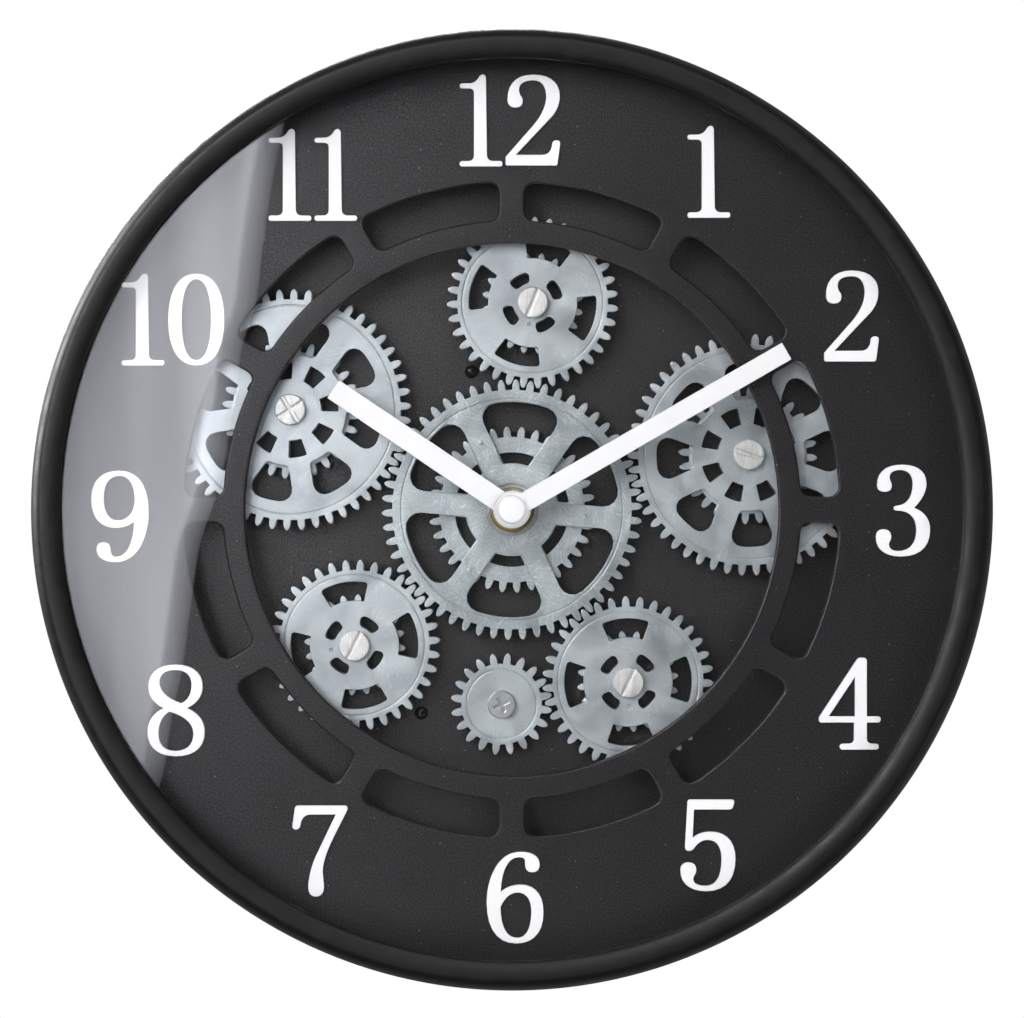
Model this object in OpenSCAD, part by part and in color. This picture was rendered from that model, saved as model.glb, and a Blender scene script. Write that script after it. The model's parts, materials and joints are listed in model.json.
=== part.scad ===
// Round wall clock with an open dial and a train of turning gear wheels behind it.
// The model is drawn in clock space: x to the right, y up, z from the wall to the viewer.
// in_place() then turns it so that z is up and the front faces -Y; the origin is on the
// hands' axis in the plane of the wall.

/* [Case] */
// Outer diameter of the case
case_d = 305; // [300:1:330]
// Depth of the hollow behind the gear plate
rear_depth = 25; // [24:0.5:32]
// Thickness of the gear plate, the floor of the pan
plate_t = 2.5; // [2:0.1:4]
// Thickness of the pan's rear wall
rear_wall_t = 2.5; // [1.6:0.1:4]
// How far the pan's flange stands out past its rear wall
flange_out = 2; // [1:0.1:4]
// Thickness of the pan's flange
flange_t = 2.5; // [1.5:0.1:4]
// Thickness of the pan's upstand that carries the dial plate
upstand_t = 2.7; // [1.6:0.1:4]
// Thickness of the pan's ribs
rib_t = 1.6; // [1:0.1:3]
// Height of the pan's ribs
rib_h = 12; // [4:0.5:20]

/* [Bezel and glass] */
// Wall of the bezel's skirt
skirt_t = 2.8; // [2:0.1:4]
// Width of the bezel as seen from the front
bezel_w = 10.2; // [9:0.1:14]
// How far the bezel's crest stands in front of the glass
crest_h = 3.4; // [2.4:0.1:6]
// Thickness of the bezel's inner lip
lip_t = 1.4; // [1:0.1:2]
// Depth of the bezel's rounding on the outside
crest_round = 9; // [4:0.5:10]
// Thickness of the glass
lens_t = 2; // [1.5:0.1:3]
// Height of the spacer ring between the dial plate and the glass
spacer_h = 10.5; // [10.5:0.1:16]
// Wall of the spacer ring
spacer_wall = 4.6; // [2:0.1:6]
// Height of the snap bead that holds the bezel on the pan
snap_h = 1.6; // [1:0.1:3]
// How far the snap bead stands out
snap_out = 0.5; // [0.3:0.1:0.8]

/* [Dial] */
// Thickness of the dial plate
dial_t = 2; // [1.5:0.1:3]
// Diameter of the dial plate's opening
opening_d = 170; // [150:1:178]
// Inner radius of the arc slots
slot_in_r = 92.3; // [91:0.1:95]
// Outer radius of the arc slots
slot_out_r = 104.4; // [102:0.1:106]
// Width of the bridges between the arc slots
bridge_w = 8.3; // [4:0.1:14]
// Corner radius of the arc slots
slot_corner = 3.2; // [1:0.1:4.5]
// Radius of the circle that the numerals are centred on
numeral_r = 124.2; // [121:0.1:125]
// Height of the numerals
numeral_h = 29.3; // [20:0.1:30]
// Thickness of the numerals
numeral_t = 1.2; // [0.6:0.1:2]
// Gap between the two digits of a numeral
digit_gap = 1; // [0.4:0.1:2]
// Radius of the circle of dial bosses
boss_circle_r = 137; // [136:0.5:140]
// Radius of a dial boss
boss_r = 3.4; // [3:0.1:4]

/* [Gear wheels] */
// Module of the gear wheels: pitch diameter over number of teeth
gear_module = 1.5; // [1.4:0.01:1.55]
// Teeth of the centre wheel
centre_teeth = 54; // [50:1:56]
// Teeth of the two large outer wheels
large_teeth = 50; // [46:1:52]
// Teeth of the three small outer wheels
small_teeth = 35; // [33:1:36]
// Teeth of the drive pinion
pinion_teeth = 20; // [18:1:22]
// Teeth of the rear gear on the centre wheel
centre_rear_teeth = 34; // [32:1:35]
// Teeth of the rear gear on a large wheel
large_rear_teeth = 28; // [26:1:30]
// Teeth of the rear gear on a small wheel
small_rear_teeth = 20; // [18:1:21]
// Thickness of the front gear of a wheel
wheel_t = 3.2; // [2:0.1:4]
// Thickness of the rear gear of a wheel
rear_gear_t = 3; // [2:0.1:4]
// Space between the gear plate and the rear gears
wheel_gap = 2; // [2:0.1:4]
// Space between the wheels' front and the dial plate
dial_gap = 4; // [3.6:0.1:8]
// Width of the spokes
spoke_w = 7; // [4:0.1:8]
// Width of the fine groove inside the teeth
groove_w = 0.5; // [0.3:0.1:1]
// Depth of the fine groove
groove_t = 0.3; // [0.1:0.1:0.8]
// Running clearance of a wheel on its post, on the radius
run_gap = 0.08; // [0.05:0.01:0.1]
// Radius of the posts that the outer wheels turn on
post_r = 3; // [2.5:0.1:3.5]
// Radius of the sleeve that the centre wheel turns on
sleeve_r = 5.6; // [5.2:0.1:6]

/* [Hands] */
// Length of the hour hand
hour_len = 68.5; // [40:0.5:80]
// Width of the hour hand
hour_w = 6.85; // [4:0.05:9]
// Length of the minute hand
minute_len = 100.5; // [70:0.5:120]
// Width of the minute hand
minute_w = 6.1; // [4:0.05:9]
// Thickness of both hands
hand_t = 0.8; // [0.5:0.1:1.2]
// Radius of the disc around the hour hand's bore
hour_disc_r = 6; // [5:0.1:8]
// Radius of the disc around the minute hand's bore
minute_disc_r = 5.4; // [4.6:0.1:7]
// Radius of the cap on the hands
cap_r = 4.55; // [3.5:0.05:5.2]
// Height of the cap
cap_h = 3; // [2:0.1:3]
// Direction of the hour hand, counter-clockwise from three o'clock
hour_turn = 146; // [0:1:359]
// Direction of the minute hand, counter-clockwise from three o'clock
minute_turn = 30; // [0:1:359]

/* [Screws] */
// Radius of the large heads on the wheels
wheel_head_r = 4.95; // [4:0.05:5.5]
// Height of the large heads
wheel_head_h = 2.1; // [1.2:0.1:2.4]
// Width of the slots in the heads
slot_w = 1.2; // [0.6:0.1:1.6]
// Depth of the slots in the heads
slot_depth = 0.9; // [0.4:0.1:1.1]
// Radius of the pinion screw's head
pinion_head_r = 4.5; // [3:0.1:5]
// Radius of the domed heads on the gear plate
dome_r = 2.2; // [1.8:0.1:2.6]
// Height of the domed heads
dome_h = 1.6; // [0.8:0.1:1.6]
// Radius of the screws' shanks
shank_r = 1.25; // [1:0.05:1.4]
// Radius of the pan heads at the back
rear_head_r = 3; // [2.4:0.1:3.4]
// Height of the pan heads at the back
rear_head_h = 2; // [1.2:0.1:2.4]

/* [Quartz movement] */
// Width and height of the movement's box
movement_w = 56; // [55:0.5:60]
// Thickness of the movement's box
movement_t = 15.5; // [15.5:0.1:18]
// Wall of the movement's box
movement_wall = 1.2; // [1:0.1:1.3]
// Radius of the threaded bush
bush_r = 4; // [3.6:0.1:4.2]
// Radius of the hour pipe
hour_pipe_r = 2.6; // [2.4:0.05:2.8]
// Radius of the minute arbor
arbor_r = 1.6; // [1.3:0.05:1.7]
// Radius of the round nut on the bush
nut_r = 7.2; // [6.4:0.1:7.6]
// Height of the round nut
nut_h = 2.4; // [1.5:0.1:2.8]
// Radius of the setting knob
knob_r = 6; // [4:0.1:7]
// Height of the setting knob
knob_h = 4.6; // [3:0.1:5]

/* [Gear motor and batteries] */
// Width of the gear motor's box
motor_w = 46; // [45:0.5:47]
// Height of the gear motor's box
motor_h = 34; // [33:0.5:38]
// Thickness of the gear motor's box
motor_t = 16; // [15.5:0.1:17]
// Wall of the gear motor's box
motor_wall = 1.2; // [1:0.1:1.3]
// Module of the gears in the gear motor and the movement
small_module = 0.4; // [0.36:0.01:0.42]
// Radius of the drive shaft
shaft_r = 1.5; // [1.3:0.05:1.7]
// Radius of an AA cell
cell_r = 7.1; // [6.9:0.05:7.2]
// Length of an AA cell without its button
cell_len = 49.2; // [48.5:0.1:49.5]
// Wall of the battery tray
tray_wall = 1.2; // [1:0.1:1.6]
// Travel of the power switch
switch_travel = 3; // [2:0.1:4]

/* [Hanger] */
// Width of the hanger plate
hanger_w = 34; // [32:0.5:50]
// Height of the hanger plate
hanger_h = 24; // [23:0.5:26]
// Thickness of the hanger plate
hanger_t = 1.2; // [0.8:0.1:2]
// Distance of the keyhole's round hole above the hands' axis
keyhole_y = 120; // [116:0.5:122]
// Radius of the keyhole's round hole
keyhole_r = 4.5; // [4:0.1:5]
// Half width of the keyhole's slot
keyslot_r = 2.2; // [1.5:0.1:2.4]
// Height of the slot's end above the round hole
keyslot_rise = 7.5; // [6:0.1:9]
// Depth of the hanger plate behind the rear rim
hanger_inset = 3; // [2:0.1:6]

/* [Hidden] */

// Segments of a full circle
$fn = 96;
// Segments of small rounds
small_fn = 32;
// Steps along a rounded corner
corner_steps = 4;
// Steps along a long arc
arc_steps = 8;
// Steps along half a window's arc, and along half a small hub window's arc
window_steps = 6;
hub_steps = 3;
// How far a cut runs past a face
over = 0.5;
// Clearance between parts that are assembled loosely
fit_gap = 0.3;
// Clearance of a shaft in its hole, on the radius
shaft_gap = 0.05;

// Heights above the wall of the stacked parts
plate_z = rear_depth + plate_t;
rear_gear_z = plate_z + wheel_gap;
wheel_z = rear_gear_z + rear_gear_t;
wheel_front_z = wheel_z + wheel_t;
dial_z = wheel_front_z + dial_gap;
dial_front_z = dial_z + dial_t;
lens_z = dial_front_z + spacer_h;
lens_front_z = lens_z + lens_t;
bezel_front_z = lens_front_z + crest_h;

// Radii of the case, from the outside in
case_r = case_d / 2;
// How far the bezel stays inside the pan's flange
flange_show = 0.5;
bezel_r = case_r - flange_show;
rear_r = case_r - flange_out;
skirt_r = bezel_r - skirt_t;
pan_r = skirt_r - fit_gap;
lip_r = bezel_r - bezel_w;
// How much smaller the glass is than the pan
lens_inset = 1.9;
lens_r = pan_r - lens_inset;
// Rounding of the pan's rear edge
rear_round = 1.2;
// Number of ribs in the pan
rib_count = 12;
// Inner end of the ribs
rib_in_r = 108;
// Turn of the first rib, clear of the hanger
rib_turn = 15;

// Outline of one side of a tooth from its root to its tip, in shares of the module:
// half width, then height above the pitch circle
tooth_shares = [
    [0.88, -1.37], [0.79, -1.22], [0.78, -0.45], [0.7, 0], [0.56, 0.36], [0.36, 0.68], [0.14, 0.86]
];
// Slimmer teeth of the small inner gears, as a share of the outline's width
slim_share = 0.75;

// Where the first tooth of the centre wheel stands
centre_tooth_turn = 1.52;
// Directions of the outer wheels seen from the centre wheel
top_dir = 84.29;
left_dir = 155.72;
right_dir = 13.05;
lower_left_dir = 220.75;
lower_right_dir = 303.97;
// Direction of the drive pinion seen from the lower right wheel
pinion_dir = 189.89;

// Distances of the outer wheels' axes
small_dist = gear_module * (centre_teeth + small_teeth) / 2;
large_dist = gear_module * (centre_teeth + large_teeth) / 2;
pinion_dist = gear_module * (small_teeth + pinion_teeth) / 2;
top_at = polar(small_dist, top_dir);
left_at = polar(large_dist, left_dir);
right_at = polar(large_dist, right_dir);
lower_left_at = polar(small_dist, lower_left_dir);
lower_right_at = polar(small_dist, lower_right_dir);
pinion_at = lower_right_at + polar(pinion_dist, pinion_dir);

// Turns of the wheels' teeth, so that each pair is in mesh
top_turn = mesh_turn(centre_teeth, centre_tooth_turn, small_teeth, top_dir);
left_turn = mesh_turn(centre_teeth, centre_tooth_turn, large_teeth, left_dir);
right_turn = mesh_turn(centre_teeth, centre_tooth_turn, large_teeth, right_dir);
lower_left_turn = mesh_turn(centre_teeth, centre_tooth_turn, small_teeth, lower_left_dir);
lower_right_turn = mesh_turn(centre_teeth, centre_tooth_turn, small_teeth, lower_right_dir);
pinion_turn = mesh_turn(small_teeth, lower_right_turn, pinion_teeth, pinion_dir);

// Turns of the windows in each wheel
centre_window_turn = 85;
top_window_turn = 74.6;
left_window_turn = 31.5;
right_window_turn = 47.5;
lower_left_window_turn = 9.8;
lower_right_window_turn = 2.6;
// Turns of the rear gears' teeth
centre_rear_turn = 8.9;
top_rear_turn = 7.2;
left_rear_turn = 7.6;
right_rear_turn = 10.4;
lower_left_rear_turn = 14.3;
lower_right_rear_turn = 6.9;
// Turns of the slots in the screw heads
top_slot_turn = 68;
left_slot_turn = 33;
right_slot_turn = -19;
lower_left_slot_turn = 63;
lower_right_slot_turn = 63;
pinion_slot_turn = 25;

// How far a wheel's rear gear reaches into its front gear
gear_lap = 0.2;
// How far the holes in the centre wheel's rear gear stand inside the windows in front of them
window_step = 0.3;
// Radii of the windows and circles of the centre wheel
centre_spokes = 6;
centre_window_in_r = 14.7;
centre_window_out_r = 34.6;
centre_window_corner = 4.6;
centre_rear_hole_r = 18.4;
centre_groove_r = 35.6;
centre_recess_r = 8.3;
recess_t = 0.4;
// Radii of the windows and circles of a large wheel
large_spokes = 8;
large_window_in_r = 17.95;
large_window_out_r = 29.6;
large_window_corner = 3.6;
large_inner_corner = 1.3;
large_hub_in_r = 9.9;
large_hub_out_r = 15.4;
large_hub_angle = 22.4;
large_groove_r = 33.5;
// Radii of the windows and circles of a small wheel
small_windows = 4;
small_window_in_r = 14.3;
small_window_out_r = 20.5;
small_window_angle = 44;
small_window_corner = 0.9;
small_hub_in_r = 6.4;
small_hub_out_r = 9.9;
small_hub_angle = 44;
small_hub_corner = 1.3;
small_groove_r = 22.6;
pinion_groove_r = 11.2;
// Corner radius of sharp window corners
sharp_corner = 0.4;
// Moulding marks on the centre wheel's spokes
mark_r = 0.6;
mark_h = 0.3;
mark_circle_r = 23.7;
mark_turn = 115;
mark_count = 3;

// Base boss under each wheel
base_r = 6;
base_gap = 0.2;
// How far a post stands past the wheel's front
post_out = 0.3;
// Depth of the screw hole in a post
screw_deep = 7;
// Sleeve of the centre wheel
sleeve_flange_r = 8;

// Hands, pipe and arbor
hour_rise = 8.8;
hour_z = wheel_front_z + hour_rise;
hand_gap = 1.6;
minute_z = hour_z + hand_t + hand_gap;
hand_corner = 0.3;
pipe_out = 0.6;
nut_z = wheel_front_z + post_out;
nut_bevel = 0.5;
bush_out = 0.6;
bush_front_z = nut_z + nut_h + bush_out;
cap_rim_h = 0.8;
cap_hole_t = 1.2;

// Movement: front and back planes and the split between its halves
movement_back_z = rear_depth - movement_t;
movement_front_t = 8;
movement_split_z = rear_depth - movement_front_t;
cell_y = cell_r + movement_wall + fit_gap - movement_w / 2;
bay_wall_y = cell_y + cell_r + fit_gap;
cell_z = movement_back_z + cell_r;
cell_button_r = 2.6;
cell_button_h = 1.3;
// Tooth counts of the motion work and the setting pinion
cannon_teeth = 10;
motion_teeth = 30;
motion_pinion_teeth = 8;
hour_teeth = 32;
setting_teeth = 12;
// Directions of the movement's axes
motion_dir = 60;
setting_dir = 30;
third_dir = 150;
fourth_dir = 120;
motion_at = polar(small_module * (cannon_teeth + motion_teeth) / 2, motion_dir);
setting_at = motion_at + polar(small_module * (motion_teeth + setting_teeth) / 2, setting_dir);
third_dist = 8.4;
fourth_dist = 7.1;
third_at = polar(third_dist, third_dir);
fourth_at = third_at + polar(fourth_dist, fourth_dir);

// Gear motor: planes and axes
motor_back_z = rear_depth - motor_t;
motor_front_t = 9;
motor_split_z = rear_depth - motor_front_t;
output_teeth = 40;
reduction_teeth = 40;
motor_pinion_teeth = 10;
reduction_dir = 143;
reduction_at = pinion_at + polar(small_module * (output_teeth + motor_pinion_teeth) / 2, reduction_dir);
motor_can_r = 4.8;
// Space between the motor's can and the box's wall
can_gap = 0.35;
// The can stands against the box's left wall, as near as the gears between let it
armature_dist = small_module * (reduction_teeth + motor_pinion_teeth) / 2;
can_wall_x = pinion_at.x - motor_w / 2 + motor_wall + can_gap + motor_can_r;
armature_dir = 360 - acos(max((can_wall_x - reduction_at.x) / armature_dist, -1));
armature_at = reduction_at + polar(armature_dist, armature_dir);

// Function of a distance and an angle: the point there
function polar(r, a) = [r * cos(a), r * sin(a)];

// Where a tooth of the second wheel stands when it meshes with the first in direction dir
function mesh_turn(teeth, turn, other_teeth, dir) =
    dir + 180 - 360 / other_teeth * (0.5 - (dir - turn) * teeth / 360);

// Points along an arc about a centre
function arc_points(at, r, from, to, steps) =
    [for (i = [0:steps]) at + polar(r, from + (to - from) * i / steps)];

// An arc with a point before it, so its own first point is left out
function arc_on(at, r, from, to, steps) =
    [for (i = [1:steps]) at + polar(r, from + (to - from) * i / steps)];

// Outline of a gear with the tooth form above, first tooth at turn
function gear_points(teeth, size, turn, slim) =
    [for (k = [0:teeth - 1]) for (i = [0:2 * len(tooth_shares) - 1])
        let (
            rising = i < len(tooth_shares),
            row = tooth_shares[rising ? i : 2 * len(tooth_shares) - 1 - i],
            r = size * (teeth / 2 + row[1]),
            lean = row[0] * slim * size / r * 180 / PI
        )
        polar(r, turn + 360 * k / teeth + (rising ? -lean : lean))];

// Upper half of a window's outline. Its side runs parallel to the radius at half, at the distance
// side from it, its corners are rounded, and steps are those along half an arc
function window_half(r_in, r_out, half, side, out_corner, in_corner, steps) =
    let (
        a = half - asin((side + out_corner) / (r_out - out_corner)),
        b = half - asin((side + in_corner) / (r_in + in_corner))
    )
    concat(
        arc_on([0, 0], r_out, 0, a, steps),
        arc_on(polar(r_out - out_corner, a), out_corner, a, half + 90, corner_steps),
        arc_points(polar(r_in + in_corner, b), in_corner, half + 90, b + 180, corner_steps),
        [for (i = [1:steps - 1]) polar(r_in, b - b * i / steps)]
    );

// Whole outline of a window centred on direction 0
function window_points(r_in, r_out, half, side, out_corner, in_corner, steps) =
    let (upper = window_half(r_in, r_out, half, side, out_corner, in_corner, steps))
    concat(
        [[r_out, 0]],
        upper,
        [[r_in, 0]],
        [for (i = [len(upper) - 1:-1:0]) [upper[i].x, -upper[i].y]]
    );

// Outline of a box about a centre, with rounded corners
function box_points(w, h, r) =
    [for (q = [0:3])
        each arc_points(
            [(q == 0 || q == 3 ? 1 : -1) * (w / 2 - r), (q < 2 ? 1 : -1) * (h / 2 - r)],
            r, 90 * q, 90 * q + 90, corner_steps
        )];

// Quarter of an ellipse from (at.x + a, at.y) to (at.x, at.y + b), both ends left to the caller
function ellipse_between(at, a, b, steps) =
    [for (i = [1:steps - 1]) at + [a * cos(90 * i / steps), b * sin(90 * i / steps)]];

// Turns the clock upright, with its front to -Y
module in_place() rotate([90, 0, 0]) children();

// Moves children to a point in the plane and a height above the wall
module put(at, z) translate([at.x, at.y, z]) children();

// Disc or ring between two heights
module disc(r, from_z, to_z) translate([0, 0, from_z]) cylinder(r = r, h = to_z - from_z);

// Box with rounded corners between two heights
module plate(w, h, r, from_z, to_z)
    translate([0, 0, from_z]) linear_extrude(to_z - from_z) polygon(box_points(w, h, r));

// Toothed disc between two heights
module gear(teeth, size, turn, slim, from_z, to_z)
    translate([0, 0, from_z]) linear_extrude(to_z - from_z) polygon(gear_points(teeth, size, turn, slim));

// Ring of windows cut between two heights
module windows(count, turn, points, from_z, to_z)
    for (k = [0:count - 1])
        rotate([0, 0, turn + 360 * k / count])
            translate([0, 0, from_z]) linear_extrude(to_z - from_z) polygon(points);

// Fine ring cut into a face that lies at front_z
module ring_groove(r, front_z)
    difference() {
        disc(r + groove_w / 2, front_z - groove_t, front_z + over);
        disc(r - groove_w / 2, front_z - groove_t - over, front_z + 2 * over);
    }

// Compound wheel: a front gear with the first child cut out of it, moulded onto a rear gear. The
// second child, the bore and a fine ring are cut out of both
module compound_wheel(teeth, turn, rear_teeth, rear_turn, bore_r, groove_r)
    difference() {
        union() {
            difference() {
                gear(teeth, gear_module, turn, 1, wheel_z, wheel_front_z);
                children(0);
            }
            gear(rear_teeth, gear_module, rear_turn, 1, rear_gear_z, wheel_z + gear_lap);
        }
        children(1);
        disc(bore_r, rear_gear_z - over, wheel_front_z + over);
        ring_groove(groove_r, wheel_front_z);
    }

// Large outer wheel, about its own axis
module large_wheel(turn, rear_turn, window_turn) {
    spoke_half = 180 / large_spokes;
    outer = window_points(
        large_window_in_r, large_window_out_r, spoke_half, spoke_w / 2,
        large_window_corner, large_inner_corner, window_steps
    );
    inner = window_points(
        large_hub_in_r, large_hub_out_r, large_hub_angle / 2, 0, sharp_corner, sharp_corner, hub_steps
    );
    compound_wheel(large_teeth, turn, large_rear_teeth, rear_turn, post_r + run_gap, large_groove_r) {
        windows(large_spokes, window_turn, outer, wheel_z - over, wheel_front_z + over);
        windows(large_spokes, window_turn + spoke_half, inner, rear_gear_z - over, wheel_front_z + over);
    }
}

// Small outer wheel, about its own axis
module small_wheel(turn, rear_turn, window_turn) {
    outer = window_points(
        small_window_in_r, small_window_out_r, small_window_angle / 2, 0,
        small_window_corner, sharp_corner, window_steps
    );
    inner = window_points(
        small_hub_in_r, small_hub_out_r, small_hub_angle / 2, 0,
        small_hub_corner, small_hub_corner, hub_steps
    );
    compound_wheel(small_teeth, turn, small_rear_teeth, rear_turn, post_r + run_gap, small_groove_r) {
        windows(small_windows, window_turn, outer, wheel_z - over, wheel_front_z + over);
        windows(
            small_windows, window_turn + 180 / small_windows, inner,
            rear_gear_z - over, wheel_front_z + over
        );
    }
}

// Step at the top edge of a screw head
head_bevel = 0.25;
// Screw seen from its head, which points up: the head stands on seat_z and the shank hangs below it
module screw(head_r, head_h, shank, seat_z, shank_len) {
    disc(head_r - head_bevel, seat_z, seat_z + head_h);
    disc(head_r, seat_z, seat_z + head_h - head_bevel);
    disc(shank, seat_z - shank_len, seat_z + over);
}

// Straight slot across a head whose top lies at top_z
module slot_cut(len, turn, top_z)
    rotate([0, 0, turn])
        translate([-len / 2, -slot_w / 2, top_z - slot_depth])
            cube([len, slot_w, slot_depth + over]);

shell_colour = "#29292b";
inner_colour = "#343437";
wheel_colour = "#a9b0b8";
steel_colour = "#d4d6d9";
brass_colour = "#a08c4c";
white_colour = "#f4f5f6";
case_in_r = rear_r - rear_wall_t;

// Battery tray: two cells side by side above the movement, open at the back
tray_clear = 0.4;
tray_gap = 0.15;
contact_t = 0.4;
contact_room = 1.4;
cell_room = cell_len + cell_button_h + 2 * contact_room;
tray_w = cell_room + 2 * tray_wall;
tray_h = 4 * (cell_r + tray_gap) + 3 * tray_wall;

// Where the dome-headed screws stand: two in the motor's lugs, two in the battery tray
motor_lug_x = 26;
motor_lug_y = -3.4;
motor_lug_r = 3.4;
motor_lug_h = 6;
tray_screw_x = 13.1;
tray_screw_y = movement_w / 2 + tray_clear + tray_h / 2;
tray_at = [0, tray_screw_y];
plate_screw_at = [
    pinion_at + [-motor_lug_x, motor_lug_y], pinion_at + [motor_lug_x, motor_lug_y],
    [-tray_screw_x, tray_screw_y], [tray_screw_x, tray_screw_y]
];
// How far the dome screws reach past the gear plate into what they hold
plate_thread_len = 2.6;
plate_shank_len = plate_t + plate_thread_len;

// Where the dial plate's bosses stand
boss_count = 6;
boss_at = [for (k = [0:boss_count - 1]) polar(boss_circle_r, 360 * k / boss_count)];
// How far the rear screws reach past the gear plate
rear_thread_len = 6;
rear_shank_len = plate_t + rear_thread_len;

// Hanger plate's middle, its screws and its front plane
hanger_y = keyhole_y + keyslot_rise / 2;
// Space between a screw head and the hanger plate's edge
hanger_edge = 1.2;
hanger_screw_x = hanger_w / 2 - rear_head_r - hanger_edge;
hanger_front_z = hanger_inset + hanger_t;
hanger_corner = 2;
hanger_boss_r = 3.8;
hanger_screw_at = [[-hanger_screw_x, hanger_y], [hanger_screw_x, hanger_y]];

// Axes of the outer wheels that turn on posts
post_at = [top_at, left_at, right_at, lower_left_at, lower_right_at];
post_top_z = wheel_front_z + post_out;

// Height of the snap bead's middle above the flange
snap_rise = 8;
snap_z = rear_depth + snap_rise;

// Section of the pan: floor, rear wall, flange and upstand
pan_section = concat(
    [[0, rear_depth], [case_in_r, rear_depth], [case_in_r, 0], [rear_r - rear_round, 0]],
    arc_on([rear_r - rear_round, rear_round], rear_round, -90, 0, corner_steps),
    [
        [rear_r, rear_depth - flange_t], [case_r, rear_depth - flange_t], [case_r, rear_depth],
        [pan_r, rear_depth], [pan_r, snap_z - snap_h / 2], [pan_r + snap_out, snap_z],
        [pan_r, snap_z + snap_h / 2], [pan_r, dial_z], [pan_r - upstand_t, dial_z],
        [pan_r - upstand_t, plate_z], [0, plate_z]
    ]
);

module case_pan() color(shell_colour) in_place()
    difference() {
        union() {
            rotate_extrude() polygon(pan_section);
            for (k = [0:rib_count - 1])
                rotate([0, 0, rib_turn + 360 * k / rib_count])
                    translate([rib_in_r, -rib_t / 2, rear_depth - rib_h])
                        cube([(case_in_r + pan_r) / 2 - rib_in_r, rib_t, rib_h]);
            for (at = post_at) {
                put(at, 0) disc(base_r, rear_depth, rear_gear_z - base_gap);
                put(at, 0) disc(post_r, rear_depth, post_top_z);
            }
            for (at = hanger_screw_at)
                put(at, 0) disc(hanger_boss_r, hanger_front_z, plate_z);
        }
        disc(bush_r + shaft_gap, rear_depth - over, plate_z + over);
        put(pinion_at, 0) disc(shaft_r + shaft_gap, rear_depth - over, plate_z + over);
        for (at = post_at)
            put(at, 0) disc(shank_r + shaft_gap, post_top_z - screw_deep, post_top_z + over);
        for (at = concat(plate_screw_at, boss_at))
            put(at, 0) disc(shank_r + shaft_gap, rear_depth - over, plate_z + over);
        for (at = hanger_screw_at)
            put(at, 0) disc(shank_r + shaft_gap, hanger_front_z - over, hanger_front_z + screw_deep);
    }

// Where the crest lies across the bezel's width, as a share from its inner edge
crest_share = 0.55;
// Radius of the bezel's crest
crest_r = lip_r + bezel_w * crest_share;
lip_front_z = lens_front_z + lip_t;
crest_start_z = bezel_front_z - crest_round;
// Section of the bezel: skirt, crest, lip and back inside
bezel_section = concat(
    [[skirt_r, rear_depth], [bezel_r, rear_depth], [bezel_r, crest_start_z]],
    ellipse_between([crest_r, crest_start_z], bezel_r - crest_r, crest_round, arc_steps),
    [for (i = [0:arc_steps])
        [
            crest_r - (crest_r - lip_r) * sin(90 * i / arc_steps),
            lip_front_z + (bezel_front_z - lip_front_z) * cos(90 * i / arc_steps)
        ]],
    [
        [lip_r, lens_front_z], [lens_r + fit_gap, lens_front_z], [lens_r + fit_gap, lens_z],
        [skirt_r, lens_z], [skirt_r, snap_z + snap_h / 2], [skirt_r + snap_out, snap_z],
        [skirt_r, snap_z - snap_h / 2]
    ]
);

module front_bezel() color(shell_colour) in_place()
    rotate_extrude() polygon(bezel_section);

module glass_lens() color("#cfe0e6", 0.25) in_place()
    disc(lens_r, lens_z, lens_front_z);

module spacer_ring() color(shell_colour) in_place()
    difference() {
        disc(pan_r, dial_front_z, lens_z);
        disc(pan_r - spacer_wall, dial_front_z - over, lens_z + over);
    }

// Hours on the dial
hours = 12;

module dial_plate() color(inner_colour) in_place() {
    slot = window_points(
        slot_in_r, slot_out_r, 180 / hours, bridge_w / 2, slot_corner, slot_corner, arc_steps
    );
    difference() {
        disc(pan_r, dial_z, dial_front_z);
        disc(opening_d / 2, dial_z - over, dial_front_z + over);
        windows(hours, 180 / hours, slot, dial_z - over, dial_front_z + over);
    }
    for (at = boss_at)
        put(at, 0) difference() {
            disc(boss_r, plate_z, dial_z + dial_t / 2);
            disc(shank_r + shaft_gap, plate_z - over, plate_z + rear_shank_len);
        }
}

// Outlines of the digits in shares of the numeral height: x from the digit's left edge, y from
// its foot, then 1 for a point on the outline or 0 for one that the outline bends towards
digit_0_shares = [
    [[0.007, 0.5, 1], [0.007, 1, 0], [0.312, 1, 1], [0.617, 1, 0], [0.617, 0.5, 1], [0.617, 0, 0],
     [0.312, 0, 1], [0.007, 0, 0]],
    [[0.153, 0.5, 1], [0.153, 0.94, 0], [0.313, 0.94, 1], [0.473, 0.94, 0], [0.473, 0.5, 1],
     [0.473, 0.06, 0], [0.313, 0.06, 1], [0.153, 0.06, 0]]
];
digit_1_shares = [
    [[0.03, 0, 1], [0.44, 0, 1], [0.465, 0, 0], [0.465, 0.03, 1], [0.465, 0.06, 0], [0.44, 0.06, 1],
     [0.365, 0.06, 1], [0.297, 0.06, 0], [0.297, 0.13, 1], [0.287, 0.96, 1], [0.285, 1, 0],
     [0.25, 1, 1], [0.222, 1, 0], [0.205, 0.965, 1], [0.17, 0.905, 0], [0.1, 0.905, 1],
     [0.03, 0.905, 1], [0, 0.905, 0], [0, 0.877, 1], [0, 0.85, 0], [0.03, 0.85, 1],
     [0.105, 0.85, 1], [0.155, 0.85, 0], [0.155, 0.8, 1], [0.155, 0.12, 1], [0.155, 0.06, 0],
     [0.09, 0.06, 1], [0.03, 0.06, 1], [0, 0.06, 0], [0, 0.03, 1], [0, 0, 0]]
];
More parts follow.
